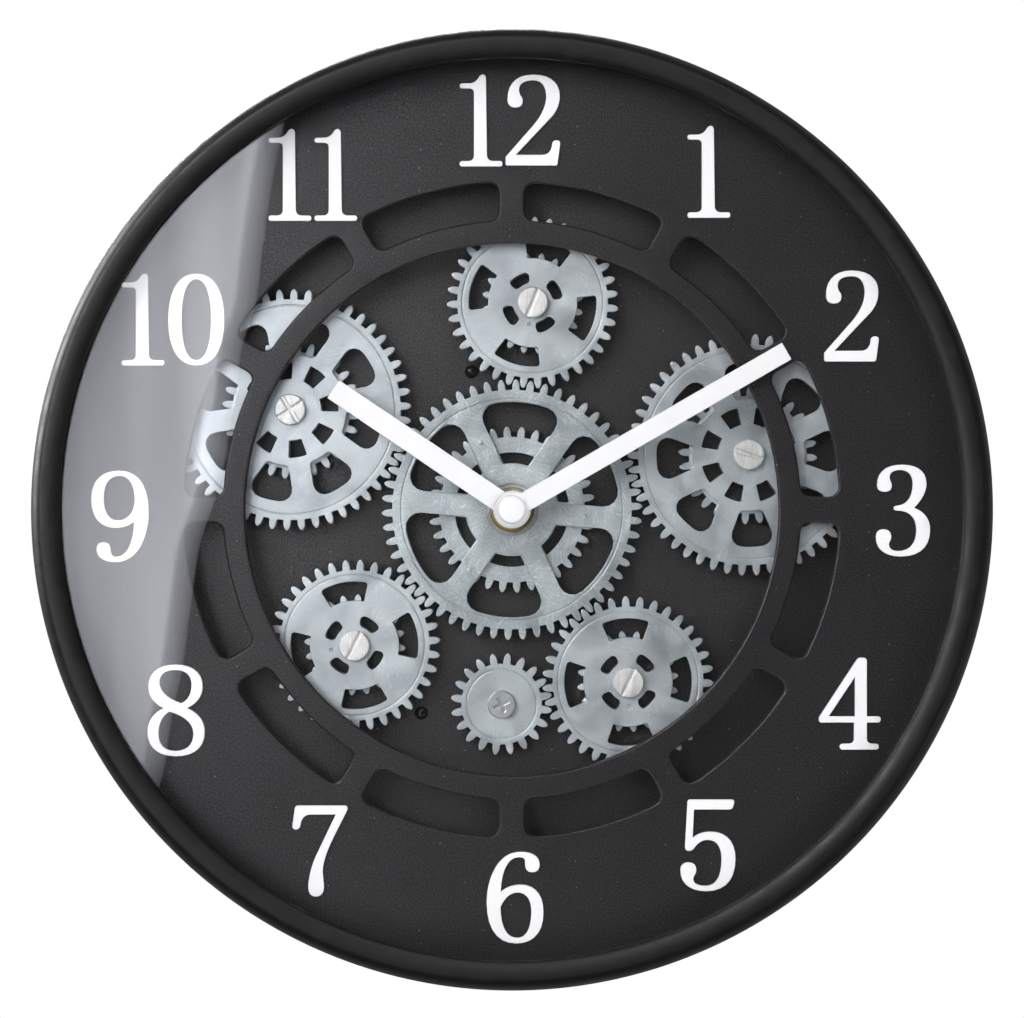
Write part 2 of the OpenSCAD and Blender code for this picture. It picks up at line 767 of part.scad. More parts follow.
digit_2_shares = [
    [[0.02, 0.73, 1], [0.02, 1, 0], [0.3, 1, 1], [0.59, 1, 0], [0.59, 0.76, 1], [0.59, 0.62, 0],
     [0.477, 0.515, 1], [0.111, 0.127, 1], [0.4, 0.127, 1], [0.5, 0.13, 0], [0.505, 0.245, 1],
     [0.51, 0.285, 0], [0.55, 0.285, 1], [0.6, 0.285, 0], [0.594, 0.245, 1], [0.566, 0.035, 1],
     [0.562, 0.01, 0], [0.54, 0.01, 1], [0.025, 0.01, 1], [0, 0.01, 0], [0, 0.035, 1],
     [0, 0.105, 1], [0.3, 0.447, 1], [0.441, 0.61, 0], [0.441, 0.76, 1], [0.441, 0.937, 0],
     [0.3, 0.937, 1], [0.147, 0.937, 0], [0.147, 0.84, 1], [0.147, 0.785, 0], [0.175, 0.755, 1],
     [0.187, 0.74, 0], [0.187, 0.71, 1], [0.187, 0.641, 0], [0.104, 0.641, 1], [0.02, 0.641, 0]]
];
digit_3_shares = [
    [[0.02, 0.78, 1], [0.02, 1, 0], [0.29, 1, 1], [0.557, 1, 0], [0.557, 0.79, 1],
     [0.557, 0.66, 0], [0.421, 0.53, 1], [0.597, 0.47, 0], [0.597, 0.29, 1], [0.597, 0, 0],
     [0.28, 0, 1], [0.007, 0, 0], [0.007, 0.21, 1], [0.007, 0.297, 0], [0.09, 0.297, 1],
     [0.173, 0.297, 0], [0.173, 0.215, 1], [0.173, 0.185, 0], [0.158, 0.165, 1],
     [0.148, 0.15, 0], [0.15, 0.125, 1], [0.155, 0.061, 0], [0.25, 0.061, 1],
     [0.447, 0.061, 0], [0.447, 0.29, 1], [0.447, 0.499, 0], [0.24, 0.499, 1],
     [0.201, 0.499, 0], [0.201, 0.526, 1], [0.201, 0.553, 0], [0.24, 0.553, 1],
     [0.407, 0.57, 0], [0.407, 0.79, 1], [0.407, 0.94, 0], [0.27, 0.94, 1], [0.157, 0.94, 0],
     [0.157, 0.865, 1], [0.157, 0.83, 0], [0.17, 0.81, 1], [0.18, 0.79, 0], [0.18, 0.77, 1],
     [0.18, 0.703, 0], [0.1, 0.703, 1], [0.02, 0.703, 0]]
];
digit_4_shares = [
    [[0.26, 0, 1], [0.62, 0, 1], [0.651, 0, 0], [0.651, 0.032, 1], [0.651, 0.065, 0],
     [0.62, 0.065, 1], [0.585, 0.065, 1], [0.521, 0.065, 0], [0.521, 0.12, 1],
     [0.521, 0.295, 1], [0.64, 0.295, 1], [0.671, 0.295, 0], [0.671, 0.329, 1],
     [0.671, 0.363, 0], [0.64, 0.363, 1], [0.521, 0.363, 1], [0.521, 0.96, 1], [0.521, 1, 0],
     [0.48, 1, 1], [0.45, 1, 1], [0.425, 1, 0], [0.405, 0.97, 1], [0.012, 0.37, 1],
     [0, 0.352, 0], [0, 0.33, 1], [0, 0.295, 0], [0.03, 0.295, 1], [0.381, 0.295, 1],
     [0.381, 0.12, 1], [0.381, 0.065, 0], [0.32, 0.065, 1], [0.26, 0.065, 1],
     [0.227, 0.065, 0], [0.227, 0.032, 1], [0.227, 0, 0]],
    [[0.107, 0.363, 1], [0.391, 0.363, 1], [0.391, 0.79, 1]]
];
digit_5_shares = [
    [[0.11, 1, 1], [0.56, 1, 1], [0.597, 1, 0], [0.588, 0.96, 1], [0.575, 0.92, 1],
     [0.567, 0.891, 0], [0.535, 0.891, 1], [0.151, 0.891, 1], [0.137, 0.583, 1],
     [0.21, 0.651, 0], [0.33, 0.651, 1], [0.603, 0.651, 0], [0.603, 0.355, 1],
     [0.603, 0.003, 0], [0.29, 0.003, 1], [0.003, 0.003, 0], [0.003, 0.23, 1],
     [0.003, 0.317, 0], [0.09, 0.317, 1], [0.177, 0.317, 0], [0.177, 0.235, 1],
     [0.177, 0.205, 0], [0.158, 0.18, 1], [0.14, 0.155, 0], [0.145, 0.125, 1],
     [0.155, 0.061, 0], [0.285, 0.061, 1], [0.451, 0.061, 0], [0.451, 0.35, 1],
     [0.451, 0.561, 0], [0.3, 0.561, 1], [0.21, 0.561, 0], [0.155, 0.475, 1],
     [0.135, 0.441, 0], [0.1, 0.441, 1], [0.05, 0.441, 0], [0.053, 0.49, 1],
     [0.08, 0.97, 1], [0.082, 1, 0]]
];
digit_6_shares = [
    [[0.153, 0.563, 1], [0.17, 0.941, 0], [0.35, 0.941, 1], [0.417, 0.941, 0],
     [0.417, 0.9, 1], [0.417, 0.86, 1], [0.417, 0.777, 0], [0.497, 0.777, 1],
     [0.577, 0.777, 0], [0.577, 0.86, 1], [0.577, 1, 0], [0.37, 1, 1], [0.19, 1, 0],
     [0.09, 0.82, 1], [0, 0.66, 0], [0, 0.45, 1], [0, 0.003, 0], [0.32, 0.003, 1],
     [0.619, 0.003, 0], [0.619, 0.34, 1], [0.619, 0.643, 0], [0.37, 0.643, 1],
     [0.24, 0.643, 0]],
    [[0.152, 0.4, 1], [0.22, 0.557, 0], [0.335, 0.557, 1], [0.485, 0.557, 0],
     [0.485, 0.35, 1], [0.485, 0.063, 0], [0.335, 0.063, 1], [0.152, 0.063, 0]]
];
digit_7_shares = [
    [[0.06, 0.989, 1], [0.565, 0.989, 1], [0.607, 0.989, 0], [0.6, 0.945, 1],
     [0.577, 0.897, 1], [0.45, 0.645, 1], [0.33, 0.41, 0], [0.33, 0.27, 1],
     [0.345, 0.12, 1], [0.35, 0, 0], [0.257, 0, 1], [0.165, 0, 0], [0.173, 0.12, 1],
     [0.185, 0.3, 0], [0.27, 0.47, 1], [0.471, 0.891, 1], [0.19, 0.891, 1],
     [0.105, 0.885, 0], [0.09, 0.79, 1], [0.085, 0.729, 0], [0.04, 0.729, 1],
     [0, 0.729, 0], [0, 0.77, 1], [0.027, 0.96, 1], [0.032, 0.989, 0]]
];
digit_8_shares = [
    [[0.305, 1, 1], [0.6, 1, 0], [0.6, 0.76, 1], [0.6, 0.6, 0], [0.431, 0.527, 1],
     [0.623, 0.45, 0], [0.623, 0.27, 1], [0.623, 0.003, 0], [0.31, 0.003, 1], [0, 0.003, 0],
     [0, 0.27, 1], [0, 0.45, 0], [0.177, 0.527, 1], [0.011, 0.6, 0], [0.011, 0.76, 1],
     [0.011, 1, 0]],
    [[0.305, 0.941, 1], [0.479, 0.941, 0], [0.479, 0.78, 1], [0.479, 0.62, 0],
     [0.363, 0.581, 1], [0.129, 0.66, 0], [0.129, 0.81, 1], [0.129, 0.941, 0]],
    [[0.237, 0.489, 1], [0.499, 0.42, 0], [0.499, 0.25, 1], [0.499, 0.061, 0],
     [0.3, 0.061, 1], [0.119, 0.061, 0], [0.119, 0.25, 1], [0.119, 0.42, 0]]
];
digit_9_shares = [
    [[0.305, 1, 1], [0.625, 1, 0], [0.625, 0.55, 1], [0.625, 0.34, 0], [0.54, 0.18, 1],
     [0.44, 0.003, 0], [0.27, 0.003, 1], [0.059, 0.003, 0], [0.059, 0.145, 1],
     [0.059, 0.221, 0], [0.135, 0.221, 1], [0.211, 0.221, 0], [0.211, 0.13, 1],
     [0.213, 0.063, 0], [0.27, 0.063, 1], [0.455, 0.063, 0], [0.467, 0.447, 1],
     [0.39, 0.375, 0], [0.27, 0.375, 1], [0, 0.375, 0], [0, 0.69, 1], [0, 1, 0]],
    [[0.307, 0.941, 1], [0.473, 0.941, 0], [0.473, 0.68, 1], [0.473, 0.58, 0],
     [0.42, 0.52, 1], [0.365, 0.457, 0], [0.29, 0.457, 1], [0.135, 0.457, 0],
     [0.135, 0.7, 1], [0.135, 0.941, 0]]
];
digit_outline_shares = [
    digit_0_shares, digit_1_shares, digit_2_shares, digit_3_shares, digit_4_shares,
    digit_5_shares, digit_6_shares, digit_7_shares, digit_8_shares, digit_9_shares
];
digit_width_shares = [0.624, 0.465, 0.597, 0.602, 0.671, 0.606, 0.62, 0.604, 0.623, 0.628];
// How strongly an outline bends towards its bend points
bend_share = 0.92;
// Steps along a bend
bend_steps = 7;

// Points of a bend from a to c towards b
function bend_points(a, b, c) =
    [for (i = [1:bend_steps - 1])
        let (
            t = i / bend_steps,
            from_a = (1 - t) * (1 - t),
            from_b = 2 * bend_share * t * (1 - t),
            from_c = t * t
        )
        (from_a * a + from_b * b + from_c * c) / (from_a + from_b + from_c)];

// Point of a digit's table at the numerals' height
function digit_point(row) = numeral_h * [row[0], row[1]];

// Closed outline from one table of a digit
function digit_points(rows) =
    [for (i = [0:len(rows) - 1])
        let (last = (i + len(rows) - 1) % len(rows), next = (i + 1) % len(rows))
        each rows[i][2] == 1
            ? [digit_point(rows[i])]
            : bend_points(digit_point(rows[last]), digit_point(rows[i]), digit_point(rows[next]))];

module digit(value) {
    tables = digit_outline_shares[value];
    linear_extrude(numeral_t)
        difference() {
            polygon(digit_points(tables[0]));
            if (len(tables) > 1) polygon(digit_points(tables[1]));
            if (len(tables) > 2) polygon(digit_points(tables[2]));
        }
}

// How far each numeral from one to twelve stands right of its even place on the circle and above
// it: they are fixed singly
numeral_shift = [
    [0.6, 0], [0.6, -0.6], [0.3, -0.3], [0, 0.3], [0.3, 0.6], [1, 0.6],
    [1, -1], [0.6, -1.9], [-0.6, -2.2], [-0.3, -1.6], [-1.3, -1], [-0.6, -0.3]
];

// Numeral of one hour, upright and near the numerals' circle
module numeral(hour) color(white_colour) in_place() {
    digits = hour < 10 ? [hour] : [1, hour - 10];
    widths = [for (value = digits) digit_width_shares[value] * numeral_h];
    second_x = widths[0] + digit_gap;
    whole_w = len(digits) == 1 ? widths[0] : second_x + widths[1];
    middle = polar(numeral_r, 90 - 360 / hours * hour) + numeral_shift[hour - 1];
    corner = middle - [whole_w, numeral_h] / 2;
    put(corner, dial_front_z) digit(digits[0]);
    if (len(digits) > 1) put(corner + [second_x, 0], dial_front_z) digit(digits[1]);
}

module centre_wheel() color(wheel_colour) in_place() {
    cut_front_z = wheel_front_z + over;
    spoke_half = 180 / centre_spokes;
    front_window = window_points(
        centre_window_in_r, centre_window_out_r, spoke_half, spoke_w / 2,
        centre_window_corner, sharp_corner, window_steps
    );
    rear_window = window_points(
        centre_window_in_r + window_step, centre_rear_hole_r, spoke_half, spoke_w / 2 + window_step,
        sharp_corner, sharp_corner, window_steps
    );
    difference() {
        compound_wheel(
            centre_teeth, centre_tooth_turn, centre_rear_teeth, centre_rear_turn,
            sleeve_r + run_gap, centre_groove_r
        ) {
            windows(centre_spokes, centre_window_turn, front_window, wheel_z - over, cut_front_z);
            windows(centre_spokes, centre_window_turn, rear_window, rear_gear_z - over, cut_front_z);
        }
        disc(centre_recess_r, wheel_front_z - recess_t, wheel_front_z + over);
    }
    for (k = [0:mark_count - 1])
        put(polar(mark_circle_r, mark_turn + 360 * k / mark_count), 0)
            disc(mark_r, wheel_front_z - mark_h, wheel_front_z + mark_h);
}

module top_wheel() color(wheel_colour) in_place()
    put(top_at, 0) small_wheel(top_turn, top_rear_turn, top_window_turn);

module left_wheel() color(wheel_colour) in_place()
    put(left_at, 0) large_wheel(left_turn, left_rear_turn, left_window_turn);

module right_wheel() color(wheel_colour) in_place()
    put(right_at, 0) large_wheel(right_turn, right_rear_turn, right_window_turn);

module lower_left_wheel() color(wheel_colour) in_place()
    put(lower_left_at, 0) small_wheel(lower_left_turn, lower_left_rear_turn, lower_left_window_turn);

module lower_right_wheel() color(wheel_colour) in_place()
    put(lower_right_at, 0) small_wheel(lower_right_turn, lower_right_rear_turn, lower_right_window_turn);

// Radius of the drive pinion's hub
pinion_hub_r = 5;

module drive_pinion() color(wheel_colour) in_place()
    put(pinion_at, 0) difference() {
        union() {
            gear(pinion_teeth, gear_module, pinion_turn, 1, wheel_z, wheel_front_z);
            disc(pinion_hub_r, plate_z + fit_gap, wheel_z + wheel_t / 2);
        }
        disc(shaft_r + shaft_gap, plate_z, wheel_front_z + over);
        ring_groove(pinion_groove_r, wheel_front_z);
    }

module centre_sleeve() color(steel_colour) in_place()
    difference() {
        union() {
            disc(sleeve_flange_r, plate_z, rear_gear_z - base_gap);
            disc(sleeve_r, plate_z, post_top_z);
        }
        disc(bush_r + shaft_gap, plate_z - over, post_top_z + over);
    }

module centre_nut() color(brass_colour) in_place()
    difference() {
        union() {
            disc(nut_r, nut_z, nut_z + nut_h - nut_bevel);
            disc(nut_r - nut_bevel, nut_z, nut_z + nut_h);
        }
        disc(bush_r + shaft_gap, nut_z - over, nut_z + nut_h + over);
    }

// Length of the screws in the posts
post_shank_len = screw_deep - over;

module slotted_screw(at, turn)
    put(at, 0) difference() {
        screw(wheel_head_r, wheel_head_h, shank_r, post_top_z, post_shank_len);
        slot_cut(3 * wheel_head_r, turn, post_top_z + wheel_head_h);
    }

module wheel_screws() color(steel_colour) in_place() {
    slotted_screw(top_at, top_slot_turn);
    slotted_screw(right_at, right_slot_turn);
    slotted_screw(lower_left_at, lower_left_slot_turn);
    slotted_screw(lower_right_at, lower_right_slot_turn);
}

module cross_slot_screw() color(steel_colour) in_place()
    difference() {
        slotted_screw(left_at, left_slot_turn);
        put(left_at, 0) slot_cut(3 * wheel_head_r, left_slot_turn + 90, post_top_z + wheel_head_h);
    }

// Screw in the end of the drive shaft, with a cross recess
pinion_shank_r = 0.8;
pinion_shank_len = 5;
pinion_cross_len = 5.2;

module pinion_screw() color(steel_colour) in_place()
    put(pinion_at, 0) difference() {
        screw(pinion_head_r, wheel_head_h, pinion_shank_r, wheel_front_z, pinion_shank_len);
        slot_cut(pinion_cross_len, pinion_slot_turn, wheel_front_z + wheel_head_h);
        slot_cut(pinion_cross_len, pinion_slot_turn + 90, wheel_front_z + wheel_head_h);
    }

module plate_screws() color(shell_colour) in_place()
    for (at = plate_screw_at)
        put(at, 0) {
            translate([0, 0, plate_z])
                rotate_extrude($fn = small_fn)
                    polygon(concat(
                        [[0, 0], [dome_r, 0]],
                        ellipse_between([0, 0], dome_r, dome_h, corner_steps),
                        [[0, dome_h]]
                    ));
            disc(shank_r, plate_z - plate_shank_len, plate_z + over);
        }

// Length of the cross recess as a share of the pan head's diameter
rear_cross_share = 0.6;
// Pan-head screw driven in from the back: its head ends at seat_z
module rear_screw(at, seat_z)
    put(at, 0) difference() {
        union() {
            disc(rear_head_r, seat_z - rear_head_h, seat_z);
            disc(shank_r, seat_z - over, seat_z + rear_shank_len - over);
        }
        for (turn = [0, 90])
            rotate([0, 0, turn])
                translate([-rear_head_r * rear_cross_share, -slot_w / 2, seat_z - rear_head_h - over])
                    cube([2 * rear_head_r * rear_cross_share, slot_w, slot_depth + over]);
    }

module rear_screws() color(steel_colour) in_place() {
    for (at = boss_at) rear_screw(at, rear_depth);
    for (at = hanger_screw_at) rear_screw(at, hanger_inset);
}

// Outline of a hand along direction 0: a flat bar with barely rounded corners
function hand_points(length, width) =
    concat(
        [[0, -width / 2]],
        arc_points([length - hand_corner, hand_corner - width / 2], hand_corner, -90, 0, corner_steps),
        arc_points([length - hand_corner, width / 2 - hand_corner], hand_corner, 0, 90, corner_steps),
        [[0, width / 2]]
    );

module hand(length, width, disc_r, hole_r, turn, from_z)
    difference() {
        union() {
            rotate([0, 0, turn])
                translate([0, 0, from_z]) linear_extrude(hand_t) polygon(hand_points(length, width));
            disc(disc_r, from_z, from_z + hand_t);
        }
        disc(hole_r, from_z - over, from_z + hand_t + over);
    }

module hour_hand() color(white_colour) in_place()
    hand(hour_len, hour_w, hour_disc_r, hour_pipe_r + shaft_gap, hour_turn, hour_z);

module minute_hand() color(white_colour) in_place()
    hand(minute_len, minute_w, minute_disc_r, arbor_r + shaft_gap, minute_turn, minute_z);

// Front of the minute hand, where the cap sits
cap_z = minute_z + hand_t;

module hand_cap() color(white_colour) in_place()
    difference() {
        translate([0, 0, cap_z])
            rotate_extrude()
                polygon(concat(
                    [[0, 0], [cap_r, 0], [cap_r, cap_rim_h]],
                    ellipse_between([0, cap_rim_h], cap_r, cap_h - cap_rim_h, arc_steps),
                    [[0, cap_h]]
                ));
        disc(arbor_r + shaft_gap, cap_z - over, cap_z + cap_hole_t + shaft_gap);
    }

// Heights inside the movement, from its front wall back
front_wall_z = rear_depth - movement_wall;
bush_flange_z = front_wall_z - movement_wall;
hour_wheel_top_z = bush_flange_z - fit_gap;
train_t = 1.2;
hour_wheel_z = hour_wheel_top_z - train_t;
motion_top_z = hour_wheel_z - fit_gap;
motion_z = motion_top_z - train_t;
centre_disc_z = motion_z - fit_gap - train_t;
third_z = centre_disc_z - fit_gap - train_t;
fourth_z = third_z - fit_gap - train_t;
cover_floor_z = movement_back_z + movement_wall;
// Radii of the train's wheels, which are plain discs at their pitch circles
centre_disc_r = 7.2;
third_pinion_r = 0.9;
third_disc_r = 6;
fourth_pinion_r = 0.8;
fourth_disc_r = 5.4;
train_arbor_r = 0.5;
bearing_r = 1.6;
bearing_h = 2.4;
bush_flange_r = 5.6;
stud_r = 0.5;
divider_t = 1;
box_corner = 2;

bearing_wall = 1;
stem_r = 1.5;
// Height of the posts that carry the circuit board and the stator
board_rise = 1.4;
board_z = cover_floor_z + board_rise;
board_t = 0.8;
// Circuit board: size and middle
board_w = 14;
board_h = 15;
inner_gap = 0.8;
board_y = -1.2;
board_at = [movement_w / 2 - movement_wall - board_w / 2 - inner_gap, board_y];
board_post_y = 5.5;
board_post_at = [board_at + [0, board_post_y], board_at - [0, board_post_y]];
chip_r = 2.6;
chip_h = 1;
crystal_r = 1;
crystal_len = 6;
// Stepping motor: stator plate, coil and rotor
stator_w = 32;
stator_h = 10;
stator_t = 1.2;
stator_x = -5;
stator_at = [stator_x, movement_w / 2 - movement_wall - stator_h / 2 - inner_gap];
right_post_x = 13;
left_post_x = -5;
stator_post_at = [stator_at + [right_post_x, 0], stator_at + [left_post_x, 0]];
rotor_x = -11;
rotor_at = stator_at + [rotor_x, 0];
rotor_r = 2.2;
rotor_h = 3.4;
rotor_gap = 0.4;
coil_r = 3.4;
coil_len = 16;
coil_flange_r = 3.9;
coil_flange_t = 1;
coil_x = 4;
coil_at = stator_at + [coil_x, 0];
// Half of the movement's box: walls between two heights, open towards the other half
module movement_shell(from_z, to_z, floor_from, floor_to) {
    inner_w = movement_w - 2 * movement_wall;
    difference() {
        plate(movement_w, movement_w, box_corner, from_z, to_z);
        translate([0, 0, from_z == floor_from ? floor_to : from_z - over])
            linear_extrude(to_z - from_z - movement_wall + over)
                polygon(box_points(inner_w, inner_w, box_corner - movement_wall / 2));
    }
}

// Wall between the cell's bay and the train
module movement_divider(from_z, to_z)
    translate([-movement_w / 2 + movement_wall / 2, bay_wall_y, from_z])
        cube([movement_w - movement_wall, divider_t, to_z - from_z]);

module movement_front() color(shell_colour) in_place() {
    difference() {
        union() {
            movement_shell(movement_split_z, rear_depth, front_wall_z, rear_depth);
            movement_divider(movement_split_z, rear_depth - movement_wall / 2);
        }
        disc(bush_r + shaft_gap, movement_split_z, rear_depth + over);
    }
    put(motion_at, 0) disc(stud_r, motion_z - fit_gap, front_wall_z + movement_wall / 2);
}

// Size of the opening in the cover through which the cell goes in
bay_inset = 0.5;
bay_w = movement_w - 2 * movement_wall - 2 * bay_inset;
bay_h = 2 * cell_r;

module movement_cover() color(shell_colour) in_place() {
    difference() {
        union() {
            movement_shell(movement_back_z, movement_split_z, movement_back_z, cover_floor_z);
            movement_divider(movement_back_z + movement_wall / 2, movement_split_z);
        }
        translate([-bay_w / 2, cell_y - bay_h / 2, movement_back_z - over])
            cube([bay_w, bay_h, movement_wall + 2 * over]);
        put(setting_at, 0) disc(stem_r + shaft_gap, movement_back_z - over, cover_floor_z + over);
    }
    difference() {
        union() {
            disc(arbor_r + bearing_wall, movement_back_z + movement_wall / 2, cover_floor_z + bearing_h);
            for (at = [third_at, fourth_at])
                put(at, 0) disc(bearing_r, movement_back_z + movement_wall / 2, cover_floor_z + bearing_h);
            for (at = concat(board_post_at, stator_post_at))
                put(at, 0) disc(bearing_r, movement_back_z + movement_wall / 2, board_z);
        }
        disc(arbor_r + shaft_gap, cover_floor_z, cover_floor_z + bearing_h + over);
        for (at = [third_at, fourth_at])
            put(at, 0) disc(train_arbor_r + shaft_gap, cover_floor_z, cover_floor_z + bearing_h + over);
    }
}

module movement_bush() color(brass_colour) in_place()
    difference() {
        union() {
            disc(bush_r, bush_flange_z, bush_front_z);
            disc(bush_flange_r, bush_flange_z, front_wall_z);
        }
        disc(hour_pipe_r + shaft_gap, bush_flange_z - over, bush_front_z + over);
    }

// Turns of the motion work's gears, so that each pair is in mesh
cannon_turn = 0;
motion_turn = mesh_turn(cannon_teeth, cannon_turn, motion_teeth, motion_dir);
hour_wheel_turn = mesh_turn(motion_pinion_teeth, 0, hour_teeth, motion_dir + 180);
setting_turn = mesh_turn(motion_teeth, motion_turn, setting_teeth, setting_dir);

module hour_pipe() color(brass_colour) in_place()
    difference() {
        union() {
            gear(hour_teeth, small_module, hour_wheel_turn, slim_share, hour_wheel_z, hour_wheel_top_z);
            disc(hour_pipe_r, hour_wheel_z, hour_z + hand_t + pipe_out);
        }
        disc(arbor_r + shaft_gap, hour_wheel_z - over, hour_z + hand_t + pipe_out + over);
    }

module minute_arbor() color(steel_colour) in_place() {
    disc(arbor_r, cover_floor_z + fit_gap, cap_z + cap_hole_t);
    gear(cannon_teeth, small_module, cannon_turn, slim_share, motion_z, motion_top_z);
    disc(centre_disc_r, centre_disc_z, centre_disc_z + train_t);
}

module motion_wheel() color(white_colour) in_place()
    put(motion_at, 0) difference() {
        union() {
            gear(motion_teeth, small_module, motion_turn, slim_share, motion_z, motion_top_z);
            gear(motion_pinion_teeth, small_module, 0, slim_share, motion_z, hour_wheel_top_z);
        }
        disc(stud_r + shaft_gap, motion_z - over, hour_wheel_top_z + over);
    }

// Wheel of the train: a disc and a pinion on one arbor
module train_wheel(at, disc_r, disc_z, pinion_r, pinion_z)
    put(at, 0) {
        disc(disc_r, disc_z, disc_z + train_t);
        disc(pinion_r, pinion_z - fit_gap, pinion_z + train_t + fit_gap);
        disc(train_arbor_r, cover_floor_z + fit_gap, pinion_z + train_t + 2 * fit_gap);
    }

module third_wheel() color(white_colour) in_place()
    train_wheel(third_at, third_disc_r, third_z, third_pinion_r, centre_disc_z);

module fourth_wheel() color(white_colour) in_place()
    train_wheel(fourth_at, fourth_disc_r, fourth_z, fourth_pinion_r, third_z);

module step_motor() color(brass_colour) in_place() {
    difference() {
        put(stator_at, 0) plate(stator_w, stator_h, box_corner, board_z, board_z + stator_t);
        put(rotor_at, 0) disc(rotor_r + rotor_gap, board_z - over, board_z + stator_t + over);
    }
    put(rotor_at, 0) disc(rotor_r, board_z - fit_gap, board_z + rotor_h);
    put(coil_at, board_z + stator_t / 2) {
        coil_z = coil_flange_r;
        translate([-coil_len / 2, 0, coil_z])
            rotate([0, 90, 0]) cylinder(r = coil_r, h = coil_len, $fn = small_fn);
        for (side = [-1, 1])
            translate([side * (coil_len - coil_flange_t) / 2 - coil_flange_t / 2, 0, coil_z])
                rotate([0, 90, 0]) cylinder(r = coil_flange_r, h = coil_flange_t, $fn = small_fn);
    }
}

module circuit_board() color("#2f6b46") in_place() {
    put(board_at, 0) plate(board_w, board_h, divider_t, board_z, board_z + board_t);
    put(board_at - [0, board_h / 4], 0)
        low_dome(chip_r, chip_h, board_z + board_t);
    put(board_at + [-crystal_len / 2, board_h / 4], board_z + board_t + crystal_r - fit_gap)
        rotate([0, 90, 0]) cylinder(r = crystal_r, h = crystal_len, $fn = small_fn);
}

// Low drop of resin over the chip
module low_dome(r, h, from_z)
    translate([0, 0, from_z])
        rotate_extrude($fn = small_fn)
            polygon(concat([[0, 0], [r, 0]], ellipse_between([0, 0], r, h, corner_steps), [[0, h]]));

knob_front_z = movement_back_z - fit_gap;
knob_back_z = knob_front_z - knob_h;
grip_count = 18;
grip_r = 0.6;

module setting_knob() color(shell_colour) in_place()
    put(setting_at, 0) {
        difference() {
            disc(knob_r, knob_back_z, knob_front_z);
            for (k = [0:grip_count - 1])
                put(polar(knob_r, 360 * k / grip_count), 0)
                    cylinder(r = grip_r, h = knob_front_z + over, $fn = small_fn);
        }
        disc(stem_r, knob_back_z + over, motion_top_z);
        gear(setting_teeth, small_module, setting_turn, slim_share, motion_z, motion_top_z);
    }

// AA cell lying along x with its button to the right
module aa_cell(at, z) {
    put(at, z) rotate([0, 90, 0]) {
        translate([0, 0, -cell_len / 2]) cylinder(r = cell_r, h = cell_len);
        translate([0, 0, cell_len / 2 - over]) cylinder(r = cell_button_r, h = cell_button_h + over);
    }
}

module clock_cell() color("#3c7a54") in_place()
    aa_cell([-cell_button_h / 2, cell_y], cell_z);

// Half of the gear motor's box
module motor_shell(from_z, to_z, cut_from_z, cut_to_z)
    difference() {
        plate(motor_w, motor_h, box_corner, from_z, to_z);
        plate(
            motor_w - 2 * motor_wall, motor_h - 2 * motor_wall, box_corner - motor_wall / 2,
            cut_from_z, cut_to_z
        );
    }

motor_front_wall_z = rear_depth - motor_wall;
motor_floor_z = motor_back_z + motor_wall;
output_drop = 2;
output_top_z = motor_front_wall_z - output_drop;
output_z = output_top_z - train_t;
reduction_top_z = output_z - fit_gap;
reduction_z = reduction_top_z - train_t;
reduction_stud_r = 0.8;
armature_r = 0.75;
can_front_z = reduction_z - 2 * fit_gap;

module motor_housing() color(shell_colour) in_place()
    put(pinion_at, 0) {
        difference() {
            union() {
                motor_shell(motor_split_z, rear_depth, motor_split_z - over, motor_front_wall_z);
                for (side = [-1, 1]) motor_lug(side);
            }
            disc(shaft_r + shaft_gap, motor_front_wall_z - over, rear_depth + over);
            for (side = [-1, 1])
                put([side * motor_lug_x, motor_lug_y], 0)
                    disc(shank_r + shaft_gap, rear_depth - motor_lug_h - over, rear_depth + over);
        }
        put(reduction_at - pinion_at, 0)
            disc(reduction_stud_r, reduction_z - fit_gap, motor_front_wall_z + motor_wall / 2);
    }

// Lug beside the motor's box: a round ear and the web that joins it to the wall
module motor_lug(side)
    translate([0, 0, rear_depth - motor_lug_h]) {
        put([side * motor_lug_x, motor_lug_y], 0) cylinder(r = motor_lug_r, h = motor_lug_h);
        translate([side > 0 ? motor_w / 2 - motor_wall / 2 : -motor_lug_x, motor_lug_y - motor_lug_r, 0])
            cube([motor_lug_x - motor_w / 2 + motor_wall / 2, 2 * motor_lug_r, motor_lug_h]);
    }

// Power switch: place of its slider beside the shaft, and sizes
switch_at = [11, -9];
slider_w = 6;
slider_h = 4;
slider_t = 1.6;
slider_stem = 2.4;

module motor_cover() color(shell_colour) in_place()
    put(pinion_at, 0) {
        difference() {
            motor_shell(motor_back_z, motor_split_z, motor_floor_z, motor_split_z + over);
            put(switch_at, 0)
                translate([-slider_stem / 2 - fit_gap, -slider_stem / 2 - fit_gap, motor_back_z - over])
                    cube([
                        slider_stem + switch_travel + 2 * fit_gap, slider_stem + 2 * fit_gap,
                        motor_wall + 2 * over
                    ]);
        }
        difference() {
            disc(shaft_r + bearing_wall, motor_back_z + motor_wall / 2, motor_floor_z + bearing_h);
            disc(shaft_r + shaft_gap, motor_floor_z, motor_floor_z + bearing_h + over);
        }
    }

module power_switch() color(steel_colour) in_place()
    put(pinion_at + switch_at, 0) {
        outer_z = motor_back_z - fit_gap;
        translate([-slider_w / 2, -slider_h / 2, outer_z - slider_t]) cube([slider_w, slider_h, slider_t]);
        translate([-slider_stem / 2, -slider_stem / 2, outer_z - over])
            cube([slider_stem, slider_stem, motor_wall + 2 * fit_gap + over]);
        translate([-slider_w / 2, -slider_h / 2, motor_floor_z + fit_gap - shaft_gap])
            cube([slider_w, slider_h, slider_t]);
    }

